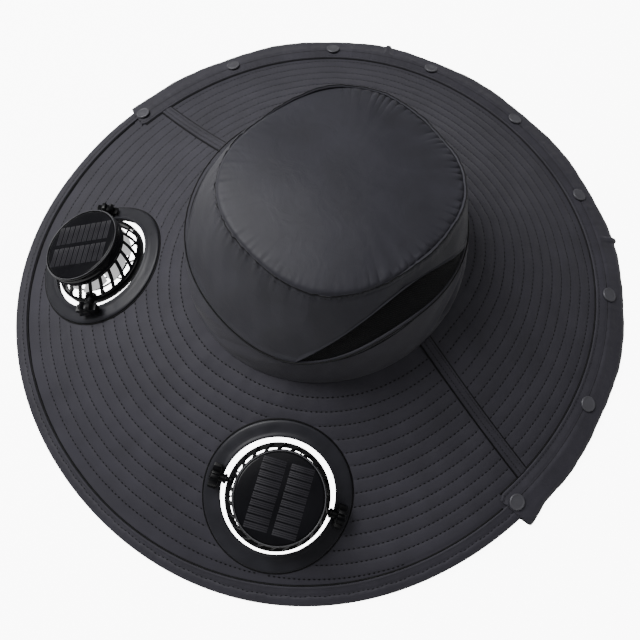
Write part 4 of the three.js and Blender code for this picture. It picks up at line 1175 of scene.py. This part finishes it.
def on_brim(fan, turns, radius):
    """A ring about a fan's seat, brought down to the brim's upper surface."""
    matrix = fan_frame(fan)
    drawn = np.where(np.sin(turns) < 0, 1 + fan["draw"], 1)
    points = from_frame(stacked(radius * np.cos(turns), radius * np.sin(turns) * drawn, 0.0), matrix)
    up = matrix[:3, 2]
    for _ in range(8):
        points = points + up * ((brim_height(points) - points[:, 2]) / up[2])[:, None]
    return points


def brim_height(points):
    """Height of the brim's upper surface over places in plan."""
    angle = np.degrees(np.arctan2(points[..., 0], BASE_SHIFT - points[..., 1]))
    share = np.full_like(angle, 0.5)
    for _ in range(10):
        here = brim_at(angle, share)
        out = (brim_at(angle, share + 1e-3) - here) * 1e3
        side = (brim_at(angle + 1e-2, share) - here) * 1e2
        dx, dy = points[..., 0] - here[..., 0], points[..., 1] - here[..., 1]
        scale = out[..., 0] * side[..., 1] - out[..., 1] * side[..., 0]
        share = share + (dx * side[..., 1] - dy * side[..., 0]) / scale
        angle = angle + (out[..., 0] * dy - out[..., 1] * dx) / scale
    return brim_at(angle, share)[..., 2]


def pivot_knob(fan, end):
    """A toothed knob with its collared neck and the pin that carries the fan's ring."""
    start = FLANGE_BORE + KNOB_INSET
    finish = start + KNOB_WIDTH
    teeth, corners = 8, 10
    turns = np.linspace(0, 2 * np.pi, teeth * corners, endpoint=False)
    outline = KNOB_RADIUS + 0.4 + 1.2 * np.clip(np.sin(teeth * turns) * 1.8, -1, 1)
    rings = []
    for x, shrink in ((start, 0.8), (start + 0.25, 0.3), (start + 0.7, 0.0), (finish - 0.7, 0.0),
                      (finish - 0.25, 0.3), (finish, 0.8)):
        radius = outline - shrink
        rings.append(stacked(x, radius * np.cos(turns), radius * np.sin(turns)))
    form = add_rings(Form(), np.stack(rings), [[start, 0, 0], [finish, 0, 0]])
    neck, pin, pin_end = NECK_RADIUS, PIN_RADIUS, RING_RADIUS - RING_WALL - BOSS_DEPTH
    neck_start = RING_RADIUS + 0.6
    form.extend(turned_along_x([
        (0, neck_start), (neck - 0.5, neck_start), (neck, neck_start + 0.4),
        (neck, neck_start + 1.5), (neck - 0.5, neck_start + 2.0), (neck - 0.5, start + 0.2),
        (neck + 0.6, start + 0.2), (neck + 0.6, start + 0.8), (0, start + 0.8)], 40))
    form.extend(turned_along_x([
        (0, pin_end), (pin - 0.3, pin_end), (pin, pin_end + 0.3), (pin, neck_start + 0.3),
        (0, neck_start + 0.3)], 24))
    form.extend(turned_along_x([
        (0, finish - 0.3), (3.4, finish - 0.3), (3.4, finish + 0.3), (3.0, finish + 0.6),
        (0, finish + 0.7)], 32))
    seat_floor = 0.15 + FLANGE_SEAT - PIVOT_HEIGHT + FLANGE_WALL
    for points in form.points:
        outside = points[:, 0] > FLANGE_BORE - 0.3
        points[outside, 2] = np.maximum(points[outside, 2], seat_floor)
    matrix = fan_frame(fan)
    matrix[:3, 3] += PIVOT_HEIGHT * matrix[:3, 2]
    form.place(matrix @ HALF_TURN if end == "b" else matrix)
    name = f"fan_knob_{end}_{fan['side']}"
    make_piece(f"{name}_part", form, [black_satin], "root", [name], sharp=40)


def add_bar(form, start, finish, width, depth, bow=0.0):
    """A slanted bar between two places about the fan's axis, each a radius, height and turn."""
    t = np.linspace(0, 1, 8)
    radius, height, turn = [low + (high - low) * t for low, high in zip(start, finish)]
    radius, turn = radius + bow * np.sin(np.pi * t), np.radians(turn)
    line = stacked(radius * np.cos(turn), radius * np.sin(turn), height)
    out = stacked(np.cos(turn), np.sin(turn), 0.0)
    along = unit(np.gradient(line, axis=0))
    side = unit(np.cross(along, out)) * width / 2
    out = unit(np.cross(side, along)) * depth / 2
    ease = 0.6
    ring = [(1, ease), (ease, 1), (-ease, 1), (-1, ease),
            (-1, -ease), (-ease, -1), (ease, -1), (1, -ease)]
    add_loop(form, np.stack([line + side * s + out * o for s, o in ring], axis=1), closed=False)


def fan_basket(fan):
    """The fan's housing: a ring, slanted bars, a top plate with the motor, and a rear guard."""
    half = RING_HEIGHT / 2
    outer, inner = RING_RADIUS, RING_RADIUS - RING_WALL
    foot, rim = -half - SKIRT[fan["side"]], half - RING_DROP[fan["side"]]
    lip = inner - RING_LIP[fan["side"]]
    form = add_turned(Form(), [
        (inner + 0.6, foot), (outer - 0.3, foot), (outer, foot + 0.3), (outer, rim - 1.4),
        (outer - 0.25, rim - 1.2), (outer - 0.25, rim - 0.3), (outer - 0.5, rim),
        (lip + 0.3, rim), (lip, rim - 0.3), (lip, rim - 1.2), (inner, rim - 2.0),
        (inner, foot + 0.5)], 96)
    top, plate = CAP_BASE - GAP, CAP_RADIUS - 1
    add_turned(form, [
        (0, top - 1.4), (plate - 0.4, top - 1.4), (plate, top - 1.0), (plate, top - 0.3),
        (plate - 0.3, top), (0, top)], 96)
    for turn in np.arange(BAR_COUNT) * 360 / BAR_COUNT:
        add_bar(form, (inner + 1.1, rim - 0.5, turn), (plate - 0.9, top - 0.5, turn + 13),
                2.5, 1.5, bow=0.7)
    boss, boss_end = BOSS_RADIUS, inner - BOSS_DEPTH
    for end in (np.eye(4), HALF_TURN):
        form.extend(turned_along_x([
            (PIN_RADIUS + 0.3, boss_end), (boss - 0.3, boss_end), (boss, boss_end + 0.3),
            (boss, inner + 0.8), (PIN_RADIUS + 0.3, inner + 0.8)], 32).place(end))
    low, face = -half, -half + GUARD_WALL
    for radius in (12.5, 19.0, 26.0):
        add_turned(form, [
            (radius - 0.6, low + 0.1), (radius + 0.6, low + 0.1), (radius + 0.6, face - 0.1),
            (radius - 0.6, face - 0.1)], 72)
    add_turned(form, [
        (0, low), (8.6, low), (9.0, low + 0.3), (9.0, face - 0.2), (8.7, face), (0, face)], 48)
    for turn in range(0, 360, 30):
        add_bar(form, (8.0, low + 0.6, turn), (inner + 1.0, low + 0.6, turn + 20), 1.5, 1.1)
    floor = half + ROTOR_GAP
    add_turned(form, [
        (0, floor), (MOTOR_RADIUS - 1.2, floor), (MOTOR_RADIUS - 0.4, floor + 0.5),
        (MOTOR_RADIUS, floor + 1.2), (MOTOR_RADIUS, top - 1.0), (0, top - 1.0)], 48, kind=1)
    add_turned(form, [
        (0, face + ROTOR_GAP), (1.0, face + ROTOR_GAP), (1.0, floor + 0.3), (0, floor + 0.3)],
        20, kind=1)
    form.place(head_frame(fan))
    name = f"fan_basket_{fan['side']}"
    make_piece(
        f"{name}_housing", form, [black_gloss, motor_metal], f"fan_head_{fan['side']}",
        [name], sharp=45)


def fan_cap(fan):
    """The solar cap: a tall rounded side, a bevelled shoulder and a thin raised bezel."""
    top = CAP_BASE + CAP_HEIGHT
    seat = top - PANEL_WALL - GAP
    radius, bezel = CAP_RADIUS, PANEL_RADIUS + GAP
    form = add_turned(Form(), [
        (0, CAP_BASE), (radius - 1.6, CAP_BASE), (radius - 0.7, CAP_BASE + 0.35),
        (radius - 0.1, CAP_BASE + 1.1), (radius, CAP_BASE + 2.0), (radius, top - 2.9),
        (radius - 0.15, top - 2.75), (radius - 0.15, top - 2.45), (radius, top - 2.3),
        (radius, top - 1.4), (radius - 0.15, top - 0.75), (radius - 0.5, top - 0.25),
        (radius - 0.95, top), (bezel + 0.2, top), (bezel, top - 0.2), (bezel, seat), (0, seat)], 128)
    # Painted highlight: a thin light ring round the cap's top edge.
    add_turned(form, [
        (radius - 1.3, top - 0.2), (radius - 0.7, top - 0.2), (radius - 0.75, top + 0.05),
        (radius - 1.25, top + 0.05)], 128, kind=1)
    form.place(head_frame(fan))
    name = f"fan_cap_{fan['side']}"
    make_piece(
        f"{name}_shell", form, [black_gloss, cap_painted_highlight], f"fan_head_{fan['side']}",
        [name], sharp=50)


def solar_panel(fan):
    """The panel: a domed clear plate over two rows of ribbed cells with a dark bar between."""
    top = CAP_BASE + CAP_HEIGHT
    radius = PANEL_RADIUS
    form = add_turned(Form(), [
        (0, top - PANEL_WALL), (radius - 0.2, top - PANEL_WALL), (radius, top - PANEL_WALL + 0.2),
        (radius, top - 0.5), (radius - 0.35, top - 0.2), (radius - 1.2, top - 0.08),
        (radius * 0.7, top - 0.02), (radius * 0.35, top), (0, top)], 96)
    turn = math.radians(CELL_TURN[fan["side"]])
    along = np.array([math.cos(turn), math.sin(turn), 0])
    across = np.array([-math.sin(turn), math.cos(turn), 0])
    block = CELL_LENGTH / CELL_BLOCKS
    strip = (block - 0.75) / CELL_FINGERS
    for column in (-1, 1):
        middle = across * column * (CELL_WIDTH + CELL_SPLIT) / 2
        for i in range(CELL_BLOCKS):
            for j in range(CELL_FINGERS):
                offset = (i + 0.5) * block - CELL_LENGTH / 2 + (j - (CELL_FINGERS - 1) / 2) * strip
                centre = middle + along * offset + np.array([0, 0, top + 0.03])
                add_slab(form, centre, along * (strip - 0.32) / 2, across * CELL_WIDTH / 2, 0.05, 1)
    form.place(head_frame(fan))
    name = f"fan_panel_{fan['side']}"
    make_piece(
        f"{name}_face", form, [cell_glaze, cell_face], f"fan_head_{fan['side']}",
        [name], sharp=50)


def add_slab(form, centre, half_a, half_b, half_height, kind):
    """A thin slab with its upper edges eased."""
    up = np.array([0, 0, half_height])
    ease = 0.9
    ring = [(-1, -1), (1, -1), (1, 1), (-1, 1)]
    low = [centre + half_a * a + half_b * b - up for a, b in ring]
    high = [centre + half_a * a * ease + half_b * b * 0.98 + up for a, b in ring]
    quads = [(0, 3, 2, 1), (4, 5, 6, 7), (0, 1, 5, 4), (1, 2, 6, 5), (2, 3, 7, 6), (3, 0, 4, 7)]
    form.add(np.array(low + high), quads, kind=kind)


def fan_rotor(fan):
    """The rotor: a domed hub and seven twisted, swept blades."""
    half = RING_HEIGHT / 2
    floor = -half + GUARD_WALL + ROTOR_GAP
    bore, hub = 1.3, ROTOR_HUB_RADIUS
    form = add_turned(Form(), [
        (bore, floor), (hub - 0.3, floor), (hub, floor + 0.3), (hub, half - 1.2),
        (hub - 0.4, half - 0.4), (hub - 1.3, half), (bore, half)], 48)
    s, c = np.meshgrid(np.linspace(0, 1, 14), np.linspace(-1, 1, 9), indexing="ij")
    radius = hub - 0.6 + (ROTOR_RADIUS - 0.4 - hub + 0.6) * s
    reach = c * (6.5 + 6.0 * s)
    pitch = np.radians(30 - 12 * s)
    height = floor + 2.4 + reach * 0.5 * np.sin(pitch) - 0.5 * (1 - c ** 2)
    height = np.clip(height, floor + 0.1, half + 0.3)
    for i in range(BLADE_COUNT):
        turn = reach * np.cos(pitch) / np.maximum(radius, 8) + np.radians(8 * s)
        turn = turn + i * 2 * np.pi / BLADE_COUNT
        x, y = radius * np.cos(turn), radius * np.sin(turn)
        add_sheet(form, stacked(x, y, height + 0.4), stacked(x, y, height - 0.4))
    form.place(head_frame(fan))
    name = f"fan_rotor_{fan['side']}"
    make_piece(
        f"{name}_blades", form, [rotor_plastic_painted_glow], f"rotor_{fan['side']}", [name], sharp=40)


brim_panel("brim_front", -SIDE_SEAM + 0.03, SIDE_SEAM - 0.03, FANS)
brim_panel("brim_back", SIDE_SEAM, 360 - SIDE_SEAM, [])
brim_stitches()
edge_binding()
edge_strip()
for number in range(SNAP_COUNT):
    snap_cap(number)
crown_band()
crown_side()
crown_top()
for side in ("left", "right"):
    seam_tape(side)
    mesh_vent(side)
for fan in FANS:
    fan_flange(fan)
    for end in ("a", "b"):
        pivot_knob(fan, end)
    fan_basket(fan)
    fan_cap(fan)
    solar_panel(fan)
    fan_rotor(fan)


def pale_floor():
    """A wide, plain white floor just under the hat."""
    mesh = bpy.data.meshes.new("floor")
    reach = 6.0
    mesh.from_pydata([(-reach, -reach, -0.0005), (reach, -reach, -0.0005),
                      (reach, reach, -0.0005), (-reach, reach, -0.0005)], [], [(0, 1, 2, 3)])
    floor = bpy.data.objects.new("floor", mesh)
    bpy.context.scene.collection.objects.link(floor)
    material, nodes, links, shader = node_material(
        "floor_paper", (0.9, 0.9, 0.9), 0.9, {"Emission Color": (1, 1, 1, 1)})
    glow = set_sockets(nodes.new("ShaderNodeMapRange"), {"To Min": 0.03, "To Max": 9.0})
    links.new(nodes.new("ShaderNodeLightPath").outputs["Is Camera Ray"], glow.inputs["Value"])
    links.new(glow.outputs["Result"], shader.inputs["Emission Strength"])
    mesh.materials.append(material)


def area_light(name, place, target, size, power):
    data = bpy.data.lights.new(name, "AREA")
    data.shape, data.size, data.energy = "DISK", size, power
    light = bpy.data.objects.new(name, data)
    light.location = place
    light.rotation_mode = "QUATERNION"
    light.rotation_quaternion = (Vector(target) - Vector(place)).to_track_quat("-Z", "Y")
    bpy.context.scene.collection.objects.link(light)


def lights():
    centre = (0, 0, 0.06)
    area_light("key", (-1.14, -0.36, 1.66), centre, 1.2, 38)
    area_light("top", (-0.3, 0.2, 2.2), centre, 1.6, 8)
    area_light("fill", (0.9, -1.5, 1.0), centre, 1.4, 0.8)
    world = bpy.data.worlds.new("studio")
    world.use_nodes = True
    set_sockets(world.node_tree.nodes["Background"], {"Color": (1, 1, 1, 1), "Strength": 0.12})
    bpy.context.scene.world = world


def camera():
    data = bpy.data.cameras.new("camera")
    data.sensor_width, data.lens = 36.0, CAMERA_LENS
    data.clip_start, data.clip_end = 0.01, 50
    eye = bpy.data.objects.new("camera", data)
    a, e = math.radians(CAMERA_AZIMUTH), math.radians(CAMERA_ELEVATION)
    back = Vector((math.sin(a) * math.cos(e), -math.cos(a) * math.cos(e), math.sin(e)))
    target = Vector(CAMERA_TARGET) * MM
    eye.location = target + back * CAMERA_DISTANCE * MM
    eye.rotation_mode = "QUATERNION"
    roll = Quaternion((0, 0, 1), math.radians(CAMERA_ROLL))
    eye.rotation_quaternion = (-back).to_track_quat("-Z", "Y") @ roll
    bpy.context.scene.collection.objects.link(eye)
    bpy.context.scene.camera = eye


pale_floor()
lights()
camera()
